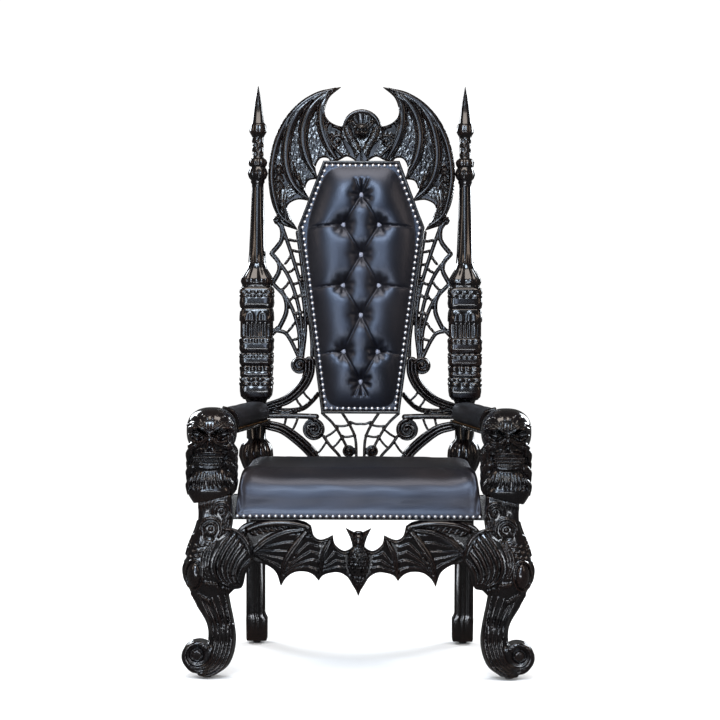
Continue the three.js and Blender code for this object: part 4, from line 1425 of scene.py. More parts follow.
def dome(centre: Sequence[float], radius: float, height: float, sides: int, steps: int, facing: int = 1, sign: float = -1.0) -> Shell:
    """Draws a closed dome, such as a nail's head.

    Args:
        centre: the middle of its flat base.
        radius: its radius.
        height: how far it stands out.
        sides: points round it.
        steps: rings from the base to the top.
        facing: axis along which it stands out.
        sign: direction along that axis.

    Returns:
        The closed shell.
    """
    turns = np.arange(sides) / sides * 2 * math.pi
    one, two = (facing + 1) % 3, (facing + 2) % 3
    levels = []
    for s in np.linspace(0, 1, steps + 1)[:-1]:
        ring = np.zeros((sides, 3))
        ring[:, one] = radius * math.cos(s * math.pi / 2) * np.cos(turns)
        ring[:, two] = radius * math.cos(s * math.pi / 2) * np.sin(turns)
        ring[:, facing] = sign * height * math.sin(s * math.pi / 2)
        levels.append(ring + np.asarray(centre))
    shell = rings(np.array(levels))
    shell.points[-1, facing] = centre[facing] + sign * height
    return shell if sign > 0 else Shell(shell.points, shell.quads[:, ::-1], shell.triangles[:, ::-1])


def keep_clear(board: Canvas) -> None:
    """Trims a board of the raked back where the coffin's frame and the posts stand.

    Args:
        board: the board, already outlined.
    """
    x, t = board.grid()
    post = BackPost()
    radius = np.interp(t, *np.array(post.spire, float)[:, :2].T)
    board.inside = np.minimum(board.inside, -CoffinBack().edge_gap(x, t) - 0.4)
    board.inside = np.minimum(board.inside, np.abs(np.abs(x) - post.middle) - radius + 1.5)


@dataclass
class Crest(SubAssembly):
    """The crest: two bat wings round a medallion with a bat's head."""

    outer: Line = ((66, 1154), (140, 1138), (201, 1097), (250, 1035), (281, 950), (289, 872), (278, 793), (255, 739))
    notch: Line = ((66, 1154), (103, 1120), (115, 1072), (102, 1047), (71, 1031), (40, 1031))
    inner_rib: Line = ((87, 1140), (119, 1105), (127, 1062), (121, 1015), (103, 968), (78, 926))
    middle_rib: Line = ((106, 1136), (144, 1105), (170, 1064), (183, 1000), (171, 933), (138, 872))
    outer_rib: Line = ((131, 1130), (175, 1102), (215, 1046), (235, 960), (229, 890), (202, 837), (160, 801))
    edge_rib: Line = ((84, 1147), (150, 1124), (205, 1082), (245, 1025), (270, 955), (279, 872), (268, 800), (250, 752), (200, 714))
    foot: Line = ((240, 722), (197, 708))
    scallops: tuple[Line, ...] = (
        ((197, 708), (222, 752), (229, 785), (200, 803), (158, 799)),
        ((158, 799), (175, 834), (165, 862), (136, 868)),
        ((136, 868), (143, 905), (128, 932), (104, 932), (96, 918)),
        ((96, 918), (68, 928), (46, 938), (24, 928), (14, 918)),
    )
    medallion: float = 1021.0
    radius: float = 62.0
    front: float = -3.0
    back: float = 13.0
    pitch: float = 1.7

    def wing(self, board: Canvas) -> None:
        """Carves one wing: ribs with a thread along each side, and membranes of small leaves between them."""
        ribs = (self.inner_rib, self.middle_rib, self.outer_rib, self.edge_rib)
        board.scales(self.inner_rib, self.middle_rib, 5, 30, 3.2, 3, 0.95)
        board.scales(self.middle_rib, self.outer_rib, 6, 36, 3.2, 5, 0.95)
        board.scales(self.outer_rib[:5], self.edge_rib[:6], 4, 26, 3.0, 7, 0.95)
        for top, low in (((152, 905), (136, 872)), ((196, 885), (160, 806)), ((214, 920), (178, 838))):
            board.stroke([top, ((top[0] + low[0]) / 2 + 8, (top[1] + low[1]) / 2), low], (3, 11, 3), (3, 8, 2), Section.RIDGE)
        for k, t in enumerate((905, 880, 858)):
            board.stroke([(246 - 2 * k, t - 20), (256, t + 4), (268 - k, t - 22)], 7, 5, Section.RIDGE)
            board.stroke([(252, t - 26), (257, t - 8), (262, t - 28)], 4, 3.5)
        board.stroke([(249, 838), (258, 812), (250, 782), (240, 762)], (3, 12, 10, 4), 7, Section.RIDGE)
        board.reeds([(228, 828), (234, 790), (222, 745), (200, 716)], [(268, 838), (266, 796), (250, 752), (206, 712)], 4, 5.0, 0.25)
        board.scales([(176, 822), (196, 822), (226, 800)], [(206, 846), (226, 848), (240, 834)], 2, 6, 4, 9)
        for knots, width in zip(ribs, (31, 32, 30, 22)):
            board.stroke(knots, (9, width, width, width * 0.9, 11), (9, 11, 11, 10, 8), Section.EDGED, 1.0)
        board.stroke([(84, 1147), (108, 1118), (119, 1080), (106, 1049), (84, 1036), (60, 1030)], (4, 9, 9, 8), 8, Section.ROUND, 3.0)
        board.stroke([(100, 1048), (112, 1020), (96, 978), (70, 948), (52, 930)], (8, 10, 9, 6), 8, Section.ROUND, 3.0)
        board.ball(112, 1066, 8, 8, 10, base=6)
        board.stroke([(92, 1030), (74, 1026), (56, 1010)], (6, 10, 6), 7, Section.RIDGE, 3.0)

    def rosette(self, board: Canvas) -> None:
        """Carves the leafy curl between the wing's thumb and the medallion."""
        board.scales([(96, 1008), (88, 966), (72, 932)], [(64, 1000), (48, 960), (34, 932)], 4, 16, 3.2, 15, 0.8)
        board.stroke(spiral((76, 982), 20, 5, 2.0, -7.5), (7, 5, 4), 7, Section.ROUND, 3.0, 1)
        board.ball(76, 982, 5, 7, 7, 0.5, base=4)
        for k in range(3):
            board.stroke([(92 + 7 * k, 1008 - 2 * k), (104 + 3 * k, 978), (84 + 8 * k, 944 - 2 * k)], (3, 7, 3), (3, 7, 3), Section.ROUND, 2.0)
        for turn in np.linspace(0.2, 2.6, 5):
            c, s = math.cos(turn), math.sin(turn)
            board.stroke([(76 + 17 * c, 984 + 17 * s), (76 + 30 * c, 984 + 32 * s)], (9, 3), 5, Section.RIDGE, 3.0)

    def plate(self, board: Canvas) -> None:
        """Carves the medallion: its dish, the rim round its upper half, and the furry shoulders that run down in a V."""
        z, r = self.medallion, self.radius
        x, t = board.grid()
        gap = np.hypot(x, t - z)
        dish = 3.0 + 5.0 * np.clip(gap / (r - 12), 0, 1) ** 2
        dish += 1.3 * np.abs(np.sin(np.arctan2(t - z + 34, np.abs(x) + 1e-6) * 13)) * (gap > 16)
        rim = 12.0 + 5.0 * np.sqrt(np.clip(1 - ((gap - r + 6.5) / 6.5) ** 2, 0, 1))
        upper = np.clip((t - z + 6) / 16, 0, 1)
        rim = dish + (rim - dish) * upper
        board.height = np.where(gap < r, np.where(gap > r - 13, rim, dish), board.height)
        shoulder, throat = [(64, z + 14), (52, z - 26), (32, z - 62), (20, 926)], [(34, z + 4), (22, z - 24), (9, z - 44), (0.5, z - 62)]
        area, field_mask, across, _ = board.patch(shoulder, throat)
        board.height[area] = np.where(field_mask, 5.0 + 7.0 * np.sin(math.pi * across) ** 0.7, board.height[area])
        board.scales(shoulder, throat, 4, 24, 4.6, 11, 0.5)

    def body(self, board: Canvas) -> None:
        """Carves the bat's head on the medallion."""
        z = self.medallion
        for side in (-1, 1):
            board.stroke([(side * 13, z + 3), (side * 30, z + 20), (side * 48, z + 26)], (22, 18, 3), (15, 15, 8), Section.ROUND, 5.0)
            board.stroke([(side * 16, z + 5), (side * 30, z + 18), (side * 43, z + 23)], (9, 9, 2), (-6, -7, -2), Section.SOFT)
        board.ball(0, z - 6, 24, 25, 18, base=7)
        for side in (-1, 1):
            board.ball(side * 10, z - 4, 8, 5, -11, side * 0.5)
            board.stroke([(side * 2, z + 1), (side * 10, z + 4), (side * 22, z + 11)], (5, 7, 2), 6)
            board.stroke([(side * 3, z - 14), (side * 12, z - 17), (side * 20, z - 9)], (3, 6, 2), 5)
            board.stroke([(side * 4, z - 28), (side * 6, z - 35)], (4, 1), 7)
        board.ball(0, z - 15, 7, 8, 8)
        board.stroke([(-14, z - 26), (0, z - 23), (14, z - 26)], (2, 5, 2), -6)

    def build(self) -> None:
        """Makes the crest from one carved half and its mirror image."""
        board = Canvas((-296, 296), (700, 1162), self.pitch)
        outer, notch = smooth(self.outer), smooth(self.notch)[::-1]
        low = np.vstack([smooth(knots) for knots in self.scallops])
        half = np.vstack([notch, outer[1:], np.array(self.foot, float), low, [(-0.5, 918), (-0.5, 1031)]])
        turns = np.arange(72) / 72 * 2 * math.pi
        plate = np.stack([self.radius * np.cos(turns), self.medallion + self.radius * np.sin(turns)], 1)
        for loop in (half, half * (-1, 1), plate):
            board.outline([loop])
        board.widen([(264, 741), (262, 736)], 21)
        board.inside = np.maximum(board.inside, board.inside[::-1])
        board.height[:] = 0.0
        self.wing(board)
        self.rosette(board)
        self.plate(board)
        board.stroke(spiral((262, 738), 9, 2, 0.5, 9), (5, 3), 7, Section.ROUND, 6.0, 1)
        half_way = len(board.a) // 2
        board.height[:half_way] = board.height[::-1][:half_way]
        self.body(board)
        board.ease(5.0, 5.0)
        keep_clear(board)
        shell = board.board(self.front, self.back).placed(DATUM.raked)
        self.piece("carved_crest", shell, LACQUER, "lacquer", ["crest"], keep=0.6)


@dataclass
class SideWeb(SubAssembly):
    """The web panels between the coffin and the posts."""

    ribs: tuple[Line, ...] = (
        ((150, 318), (151, 373), (171, 511), (190, 655), (197, 700)),
        ((180, 314), (171, 411), (181, 514), (210, 618), (246, 722)),
        ((185, 318), (181, 376), (193, 473), (227, 569), (277, 635)),
        ((187, 318), (193, 404), (224, 487), (275, 545)),
        ((192, 316), (218, 369), (235, 390), (275, 398)),
    )
    edge: tuple[Line, ...] = (
        ((262, 738), (246, 712), (247, 676), (277, 635)),
        ((277, 635), (255, 607), (253, 583), (272, 545)),
        ((245, 520), (231, 487), (231, 452), (254, 400)),
    )
    rungs: tuple[Line, ...] = (
        ((190, 676), (222, 678)), ((184, 643), (212, 645)), ((178, 604), (203, 604)), ((170, 554), (192, 554)),
        ((166, 505), (184, 503)), ((219, 628), (234, 605)), ((206, 591), (222, 578)), ((191, 549), (207, 541)),
        ((186, 508), (205, 497)), ((182, 453), (199, 449)), ((221, 551), (240, 526)), ((205, 509), (223, 488)),
        ((191, 456), (206, 448)), ((203, 424), (225, 394)), ((191, 376), (206, 369)),
    )
    tie: Line = ((256, 404), (276, 384))
    width: float = 12.5
    edge_width: float = 14.5
    front: float = -1.0
    back: float = 9.0
    pitch: float = 1.5

    def build(self) -> None:
        """Makes both panels."""
        board = Canvas((140, 300), (306, 745), self.pitch)
        lines = [(knots, self.width) for knots in self.ribs] + [(knots, self.edge_width) for knots in (*self.edge, self.tie)]
        for knots, width in lines:
            board.widen(knots, width)
            board.stroke(knots, width + 1, 8.0, Section.EDGED, 0.0)
        for (ax, az), (bx, bz) in self.rungs:
            middle = ((ax + bx) / 2, (az + bz) / 2 - 2.5)
            board.widen([(ax, az), middle, (bx, bz)], 8.5)
            board.stroke([(ax, az), middle, (bx, bz)], 9.0, 5.0, Section.ROUND, 0.0)
            for s in (0.25, 0.75):
                spot = (ax + (bx - ax) * s, az + (bz - az) * s - 1.8)
                board.ball(*spot, 5.4, 5.4, 4.5, base=4.0)
        board.ease(2.2, 2.0)
        keep_clear(board)
        self.pair("side_web", board.board(self.front, self.back), DATUM.raked, LACQUER, "lacquer", 0.54)


@dataclass
class LowerWeb(SubAssembly):
    """The scrolls and web threads under the coffin, down to the rail behind the seat."""

    bands: tuple[tuple[Line, tuple[float, ...], Section], ...] = (
        (((158, 300), (160, 265), (180, 225), (225, 184), (290, 160)), (34, 34, 30, 26), Section.REEDS),
        (((132, 200), (150, 179), (175, 158), (204, 150), (288, 150)), (15, 16, 18), Section.REEDS),
        (((288, 133), (200, 133), (136, 131)), (17, 17), Section.EDGED),
        (((284, 104), (240, 92), (187, 55), (146, 14), (130, -12)), (30, 34, 34), Section.REEDS),
        (((113, 70), (95, 44), (66, 12), (52, -12)), (10, 9), Section.EDGED),
        (((118, 142), (84, 109), (60, 72), (40, 34)), (9, 9), Section.EDGED),
        (((56, 142), (35, 109), (16, 66), (12, -12)), (9, 9), Section.EDGED),
    )
    rungs: tuple[Line, ...] = (
        ((178, 210), (158, 186)), ((200, 190), (185, 166)), ((228, 132), (238, 96)), ((192, 130), (208, 92)),
        ((107, 50), (136, 14)), ((112, 66), (70, 96)), ((86, 34), (54, 72)), ((78, 103), (30, 107)), ((60, 70), (16, 74)),
        ((31, 115), (-1, 109)),
    )
    volutes: Line = ((189, 290, 27, 7, 2.8, -8.2), (144, 92, 34, 8, 1.6, 8.6), (36, 25, 19, 5, 0.9, -7.6))
    front: float = -2.0
    back: float = 11.0
    pitch: float = 1.7

    def build(self) -> None:
        """Makes the scrollwork."""
        board = Canvas((-300, 300), (-8, 318), self.pitch)
        for (ax, az), (bx, bz) in self.rungs:
            sag = [(ax, az), ((ax + bx) / 2, (az + bz) / 2 - 3), (bx, bz)]
            board.widen(sag, 7.5)
            board.stroke(sag, 8.5, 6.0, Section.EDGED, 0.0)
        for knots, width, section in self.bands:
            board.widen(knots, width)
            board.stroke(knots, np.array(width) + 1.0, 9.0 + width[0] * 0.12, section, 0.0)
        for x, t, radius, eye, start, turn in self.volutes:
            line = spiral((x, t), radius - 3.5, eye - 1, start, turn)
            board.widen(line[::6], (9, 9))
            board.inside = np.maximum(board.inside, self.round_gap(board, x, t, radius))
            board.stroke(line, (radius * 0.4, radius * 0.34, radius * 0.28), (14, 14, 15), Section.ROUND, 0.0, 1)
            board.ball(x, t, eye * 0.8, eye * 0.8, 6, base=12)
        board.widen([(-262, -2), (262, -2)], 12)
        board.stroke([(-262, 0), (262, 0)], 10, 6, Section.ROUND, 2.0)
        board.inside = np.maximum(board.inside, board.inside[::-1])
        board.height = np.maximum(board.height, board.height[::-1])
        board.ease(3.0, 3.0)
        keep_clear(board)
        board.inside = np.minimum(board.inside, board.grid()[1] + 6.0)
        shell = board.board(self.front, self.back).placed(DATUM.raked)
        self.piece("carved_lower_web", shell, LACQUER, "lacquer", ["lower_web"], keep=0.75)

    @staticmethod
    def round_gap(board: Canvas, x: float, t: float, radius: float) -> np.ndarray:
        """Returns the signed distance inside a disc."""
        gx, gt = board.grid()
        return radius - np.hypot(gx - x, gt - t)


@dataclass
class SeatCushion(SubAssembly):
    """The seat: crowned leather turned down over the rails, with a row of nails along its lower edge."""

    half: float = 347.0
    front: float = 38.0
    rear: float = 606.0
    tongue: float = 638.0
    tongue_half: float = 262.0
    bottom: float = 445.0
    wall: float = 498.0
    rise: float = 86.0
    crown: float = 5.0
    front_roll: float = 104.0
    side_roll: float = 24.0
    swell: float = 9.0
    nail_height: float = 453.5
    nail_pitch: float = 17.9
    pitch: float = 4.0

    def outline(self) -> np.ndarray:
        """Draws the seat's plan with rounded corners, in x and u."""
        right = [(self.half, self.front), (self.half, self.rear), (self.tongue_half, self.rear), (self.tongue_half, self.tongue)]
        radii = [16, 16, 10, 14]
        return rounded([*right, *[(-x, u) for x, u in reversed(right)]], [*radii, *reversed(radii)])

    def board(self) -> Canvas:
        """Draws the cushion's height over the floor, on a plan of x and u."""
        plan = Canvas((-self.half - 6, self.half + 6), (self.front - 6, self.tongue + 6), self.pitch)
        plan.outline([self.outline()])
        x, u = plan.grid()
        beside = np.clip(1 - (self.half - np.abs(x)) / self.side_roll, 0, 1)
        corner = np.clip((np.abs(x) - 235) / 90, 0, 1) ** 1.5
        ahead = np.clip(1 - (u - self.front) / (self.front_roll * (1 - 0.5 * corner)), 0, 1)
        behind = np.clip(1 - (self.tongue - u) / (2 * self.side_roll), 0, 1)
        turn = np.clip((beside**7 + ahead**7 + behind**7) ** (1 / 7), 0, 0.999)
        middle = (self.front + self.tongue) / 2
        bulge = (1 - (x / self.half) ** 2) * (1 - ((u - middle) / (self.tongue - middle)) ** 2)
        plan.height = self.wall + self.rise * (1 - turn**2.3) ** (1 / 2.3) + self.crown * np.clip(bulge, 0, 1)
        plan.height += 9.0 * np.exp(-(((self.half - np.abs(x) - 16) / 24) ** 2) - ((u - 118) / 62) ** 2)
        plan.height -= (self.swell * (1 - turn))
        return plan

    def creased(self, points: np.ndarray) -> np.ndarray:
        """Pulls the leather into folds at the front corners and into soft waves along the front roll.

        Args:
            points: points of the cushion, in metres.

        Returns:
            The moved points.
        """
        x, y, z = points.T / MM
        u = y - DATUM.front()
        corner = np.exp(-(((self.half - np.abs(x)) / 22.0) ** 2)) * np.clip((z - 456) / 14, 0, 1)
        face = np.clip(1 - (u - self.front) / 70, 0, 1)
        streaks = np.sin((self.half - np.abs(x)) / 3.4 + 0.02 * z) * np.clip((566 - z) / 50, 0, 1)
        fold = np.exp(-(((u - self.front - 1.1 * (self.half - np.abs(x)) - 16) / 7.0) ** 2))
        fold *= np.clip(1 - (self.half - np.abs(x)) / 70, 0, 1) * np.clip((z - 520) / 30, 0, 1)
        waves = np.sin(x / 23 + 1.3 * np.sin(z / 17)) + 0.7 * np.sin(x / 61 + z / 19 + 1.0)
        moved = y + 2.6 * streaks * corner * face + 0.9 * waves * face * np.clip((z - 470) / 30, 0, 1)
        return np.stack([x, moved, z - 6.0 * fold + 0.5 * waves * (z > 520)], 1) * MM

    def build(self) -> None:
        """Makes the cushion, its nails and dresses the rails."""
        plan = self.board()
        shell = plan.board(0.0, -self.bottom, 0.4).placed(self.lay)
        made = self.piece("leather_seat_cushion", shell.placed(DATUM.upright), SEAT_LEATHER, "leather", ["seat_pad"], 80)
        self.inflate(made, 8.0, self.swell, self.nail_height + 10)
        made.data.vertices.foreach_set("co", self.creased(self.points(made.data)).astype(np.float32).ravel())
        self.thin(made, 0.36)
        nails = []
        span = self.half - 8
        for x in np.linspace(-span, span, round(2 * span / self.nail_pitch) + 1):
            nails.append(dome((x, self.front + 0.4, self.nail_height), 5.3, 4.2, 14, 4))
        for side in (-1, 1):
            for u in np.arange(self.front + 14, self.rear - 10, self.nail_pitch):
                if u > DATUM.rail_front + 56:
                    nails.append(dome((side * (self.half - 0.4), u, self.nail_height), 4.9, 4.0, 12, 4, 0, side))
        self.piece("seat_nails", Shell.joined(nails).placed(DATUM.upright), SILVER, "silver_nail")
        for name in ("front", "right", "left", "back"):
            self.dress(f"seat_rail_{name}", PLAIN_LACQUER)

    @staticmethod
    def lay(points: np.ndarray) -> np.ndarray:
        """Turns a board that was drawn standing so that it lies flat, its front upwards."""
        x, deep, u = points.T
        return np.stack([x, u, -deep], 1)


@dataclass
class FrontLeg(SubAssembly):
    """A cabriole front leg: knee with leaf and cabochon, fluted ankle and scroll foot."""

    levels: Line = (
        (8.3, 446, 396, 40, 2.6), (30, 440, 366, 42, 2.6), (60, 432, 350, 42, 2.6), (105, 417, 342, 39, 2.6),
        (148, 420, 346, 39, 2.6), (205, 452, 357, 45, 2.4), (256, 478, 366, 52, 2.4), (284, 484, 372, 54, 2.4),
        (321, 486, 372, 52, 2.4), (366, 476, 366, 48, 3), (438, 450, 352, 45, 6), (514, 450, 352, 45, 6),
    )
    middle: float = 53.0
    foot: tuple[float, float, float] = (446.0, 61.0, 43.0)
    leaf: Line = ((372, 424), (326, 404), (297, 366), (292, 340), (303, 318), (316, 294), (320, 274), (324, 260), (330, 253), (348, 250), (362, 236), (400, 262), (410, 400))
    outer_run: Line = ((343, 150), (345, 112), (353, 70), (375, 28), (413, 9), (452, 10), (483, 36), (490, 70), (478, 99), (450, 110), (428, 103), (418, 84))
    inner_run: Line = ((404, 150), (402, 112), (405, 88), (414, 58), (431, 40), (453, 35), (473, 47), (480, 68), (470, 88), (451, 96), (436, 90), (431, 78))
    leaf_lines: tuple = (
        (((352, 412), (386, 360), (400, 318), (388, 278), (358, 260), (328, 256)), (4, 9, 10, 9, 7, 2), (3, 6, 7, 6, 5, 2)),
        (((340, 404), (374, 352), (387, 314), (376, 278), (353, 262), (328, 256)), (4, 10, 10, 9, 7, 2), (4, 7, 8, 7, 5, 2)),
        (((330, 392), (361, 344), (372, 308), (364, 278), (348, 264), (327, 256)), (4, 10, 10, 9, 6, 2), (5, 8, 9, 7, 5, 2)),
        (((320, 376), (347, 334), (357, 302), (352, 276), (342, 266), (327, 257)), (5, 11, 10, 9, 6, 2), (6, 10, 10, 8, 5, 2)),
        (((310, 356), (333, 322), (342, 294), (339, 276), (326, 258)), (6, 12, 10, 8, 2), (7, 11, 10, 8, 2)),
        (((300, 334), (318, 312), (327, 288), (329, 274), (325, 260)), (6, 10, 9, 7, 2), (8, 10, 9, 7, 2)),
        (((372, 420), (346, 418), (322, 402), (304, 376), (297, 350)), (6, 12, 13, 12, 6), (6, 10, 11, 10, 6)),
    )
    slant: float = 0.24
    seat_height: float = 504.0
    pitch: float = 1.7
    keep: float = 0.38

    def front_carving(self) -> Canvas:
        """Draws the carving of the front face."""
        board = Canvas((284, 500), (0, 520), 1.6)
        for knots, width, height in self.leaf_lines:
            board.stroke(knots, width, np.array(height) * 1.5, Section.ROUND, 0.0)
        for k in range(3):
            board.stroke([(394 + 9 * k, 388 - 6 * k), (411 + 9 * k, 352), (417 + 7 * k, 316), (408 + 4 * k, 282)], (3, 8, 8, 3), (3, 6, 6, 2), Section.ROUND, 0.0)
        self.scrolls(board)
        self.knee(board)
        self.flutes(board)
        return board

    def scrolls(self, board: Canvas) -> None:
        """Draws the nested scrolls at the top, the spray beside them and the scales under them."""
        for x, z, r, start, turn in ((411, 421, 30, -0.5, 4.4), (381, 470, 25, -0.3, 4.2)):
            board.stroke(spiral((x, z), r, r, start, turn, 30), (4, 8, 5), 7, Section.ROUND, 0.0, 1)
            board.stroke(spiral((x, z), r * 0.62, r * 0.5, start + 0.2, turn * 1.1, 30), (4, 7, 4), 7, Section.ROUND, 0.0, 1)
            board.ball(x, z, r * 0.22, r * 0.22, 6, base=0.0)
        board.ball(416, 396, 15, 9, -6, 0.3)
        for k in range(6):
            board.stroke([(444 - 8 * k, 466 + 4 * k), (446 - 8 * k, 482 + 3 * k), (440 - 7 * k, 500)], (3, 8, 3), (2, 6, 2), Section.RIDGE, 0.0)
        for k in range(4):
            x, z = 376 - 6 * k, 440 - 7 * k
            board.stroke([(x - 4, z + 18), (x, z), (x + 10, z - 18)], (3, 9, 3), (3, 7, 3), Section.RIDGE, 0.0)
        for row in range(3):
            for k in range(4):
                centre = (462 - 14 * k - 6 * (row % 2), 378 - 15 * row + 2 * k)
                board.stroke(spiral(centre, 8, 8, -2.9, 2.7, 12), (2, 4, 2), 4, Section.ROUND, 0.0, 1)

    def knee(self, board: Canvas) -> None:
        """Draws the cabochon with its rim, and the short strokes under it."""
        board.stroke(spiral((458, 292), 1, 1, 0, 6.2832, 40) * (26, 42) + (458 - 458 * 26, 292 - 292 * 42), 6, 6, Section.ROUND, 0.0, 1)
        board.ball(458, 292, 20, 36, 14, base=0.0)
        for k in range(5):
            board.stroke([(424 - 8 * k, 270 - k), (418 - 8 * k, 260 - k)], (8, 4), (8, 3), Section.ROUND, 0.0)
            board.stroke([(448 - 8 * k, 240 - 5 * k), (443 - 8 * k, 228 - 5 * k)], (8, 4), (9, 3), Section.ROUND, 0.0)
            board.stroke([(392 - 8 * k, 258 - 2 * k), (390 - 8 * k, 244 - k)], (7, 4), (6, 2), Section.RIDGE, 0.0)

    def flutes(self, board: Canvas) -> None:
        """Draws the reeds that run down the ankle and round the scroll foot."""
        for top, bottom in (((440, 226), (402, 120)), ((424, 214), (390, 120)), ((406, 226), (377, 120)), ((388, 232), (364, 120)), ((371, 234), (352, 120))):
            middle = ((top[0] + bottom[0]) / 2 - 4, (top[1] + bottom[1]) / 2)
            board.stroke([top, middle, bottom], (4, 11.5, 11.5), (3, 9, 9), Section.ROUND, 0.0)
        outer, inner = smooth(self.outer_run), smooth(self.inner_run)
        for k in range(5):
            line = between(outer, inner, (k + 0.5) / 5, 48)
            board.stroke(line, (11.5, 12.5, 12.5, 11, 8, 6, 5, 4, 3, 2.4), (9, 10, 11, 10, 8, 6, 5, 4), Section.ROUND, 0.0, 1)
        x, z, _ = self.foot
        board.ball(x + 4, z + 7, 22, 22, -7)
        board.ball(x + 4, z + 7, 14, 14, 14, base=0.0)

    def side_carving(self) -> Canvas:
        """Draws the carving of the outer side, in u and height."""
        board = Canvas((-10, 120), (0, 520), 2.0)
        m = self.middle
        board.ball(m, 292, 24, 42, 8, base=0.0)
        board.ball(m, 292, 18, 36, -5)
        board.ball(m, 292, 15, 32, 9, base=0.0)
        for side in (-1, 1):
            for k in range(4):
                board.stroke([(m + side * 4, 350 + 12 * k), (m + side * 22, 366 + 12 * k), (m + side * 34, 352 + 10 * k)], (6, 11, 4), 6, Section.RIDGE, 0.0)
                board.stroke([(m + side * 4, 236 - 10 * k), (m + side * 20, 228 - 10 * k), (m + side * 28, 244 - 8 * k)], (5, 9, 3), 5, Section.RIDGE, 0.0)
        for k in (-1.5, -0.5, 0.5, 1.5):
            board.stroke([(m + 20 * k, 200), (m + 17 * k, 120), (m + 17 * k, 20)], 14, 5, Section.ROUND, 0.0)
        board.stroke([(m, 345), (m, 400), (m, 440)], (8, 12, 6), 7, Section.RIDGE, 0.0)
        return board

    def carved(self) -> Shell:
        """Carves the right-hand leg."""
        block = Block((284, -10, 4), (502, 116, 524), self.pitch)
        rows = [(z, (o + i) / 2, self.middle, (o - i) / 2 - 0.5, deep - 2, n) for z, o, i, deep, n in self.levels]
        fine = np.linspace(rows[0][0], rows[-1][0], 120)
        rows = np.array(rows)
        curve = smooth(rows[:, :2], 12), smooth(rows[:, [0, 3]], 12)
        levels = np.stack([fine, np.interp(fine, *curve[0].T), np.full_like(fine, self.middle), np.interp(fine, *curve[1].T),
                           np.interp(fine, rows[:, 0], rows[:, 4]), np.interp(fine, rows[:, 0], rows[:, 5])], 1)
        block.column(levels)
        x, z, r = self.foot
        area = block.window((x - r - 12, 8, z - r - 12), (x + r + 12, 98, z + r + 12))
        gx, gy, gz = block.grid(area)
        radial = np.hypot(gx - x, gz - z) - r
        slab = np.abs(gy - self.middle) - 37
        block.merge(area, np.hypot(np.maximum(radial + 6, 0), np.maximum(slab + 6, 0)) - 6 + np.minimum(np.maximum(radial + 6, slab + 6), 0), 10, False)
        leaf = Canvas((284, 420), (225, 440), self.pitch)
        leaf.outline([np.vstack([smooth(self.leaf[:9]), np.array(self.leaf[9:], float)])])
        area = block.window((286, 0, 227), (418, 60, 438))
        gx, gy, gz = block.grid(area)
        flat = leaf.inside[np.ix_(np.searchsorted(leaf.a, block.axes[0][area[0]]), np.searchsorted(leaf.b, block.axes[2][area[2]]))]
        swell = 9 * np.clip(flat / 20, 0, 1)[:, None, :]
        block.merge(area, np.maximum(-flat[:, None, :], np.abs(gy - 27) - 7 - swell), 5, False)
        block.press(self.front_carving(), (0, -1, 0), (0, 2), 0.7)
        block.press(self.side_carving(), (1, 0, 0), (1, 2), 1.5)
        block.keep(lambda gx, gy, gz: (gz - self.seat_height + self.slant * (gx - 401)) + 0 * gy)
        block.keep(lambda gx, gy, gz: 8.3 - gz + 0 * gx + 0 * gy)
        return block.surface()

    def build(self) -> None:
        """Makes both legs and dresses the glides."""
        self.pair("front_leg", self.carved(), DATUM.upright, LACQUER, "lacquer", self.keep)
        for place in ("front", "back"):
            for side in ("right", "left"):
                self.dress(f"glide_{place}_{side}", GLIDE)


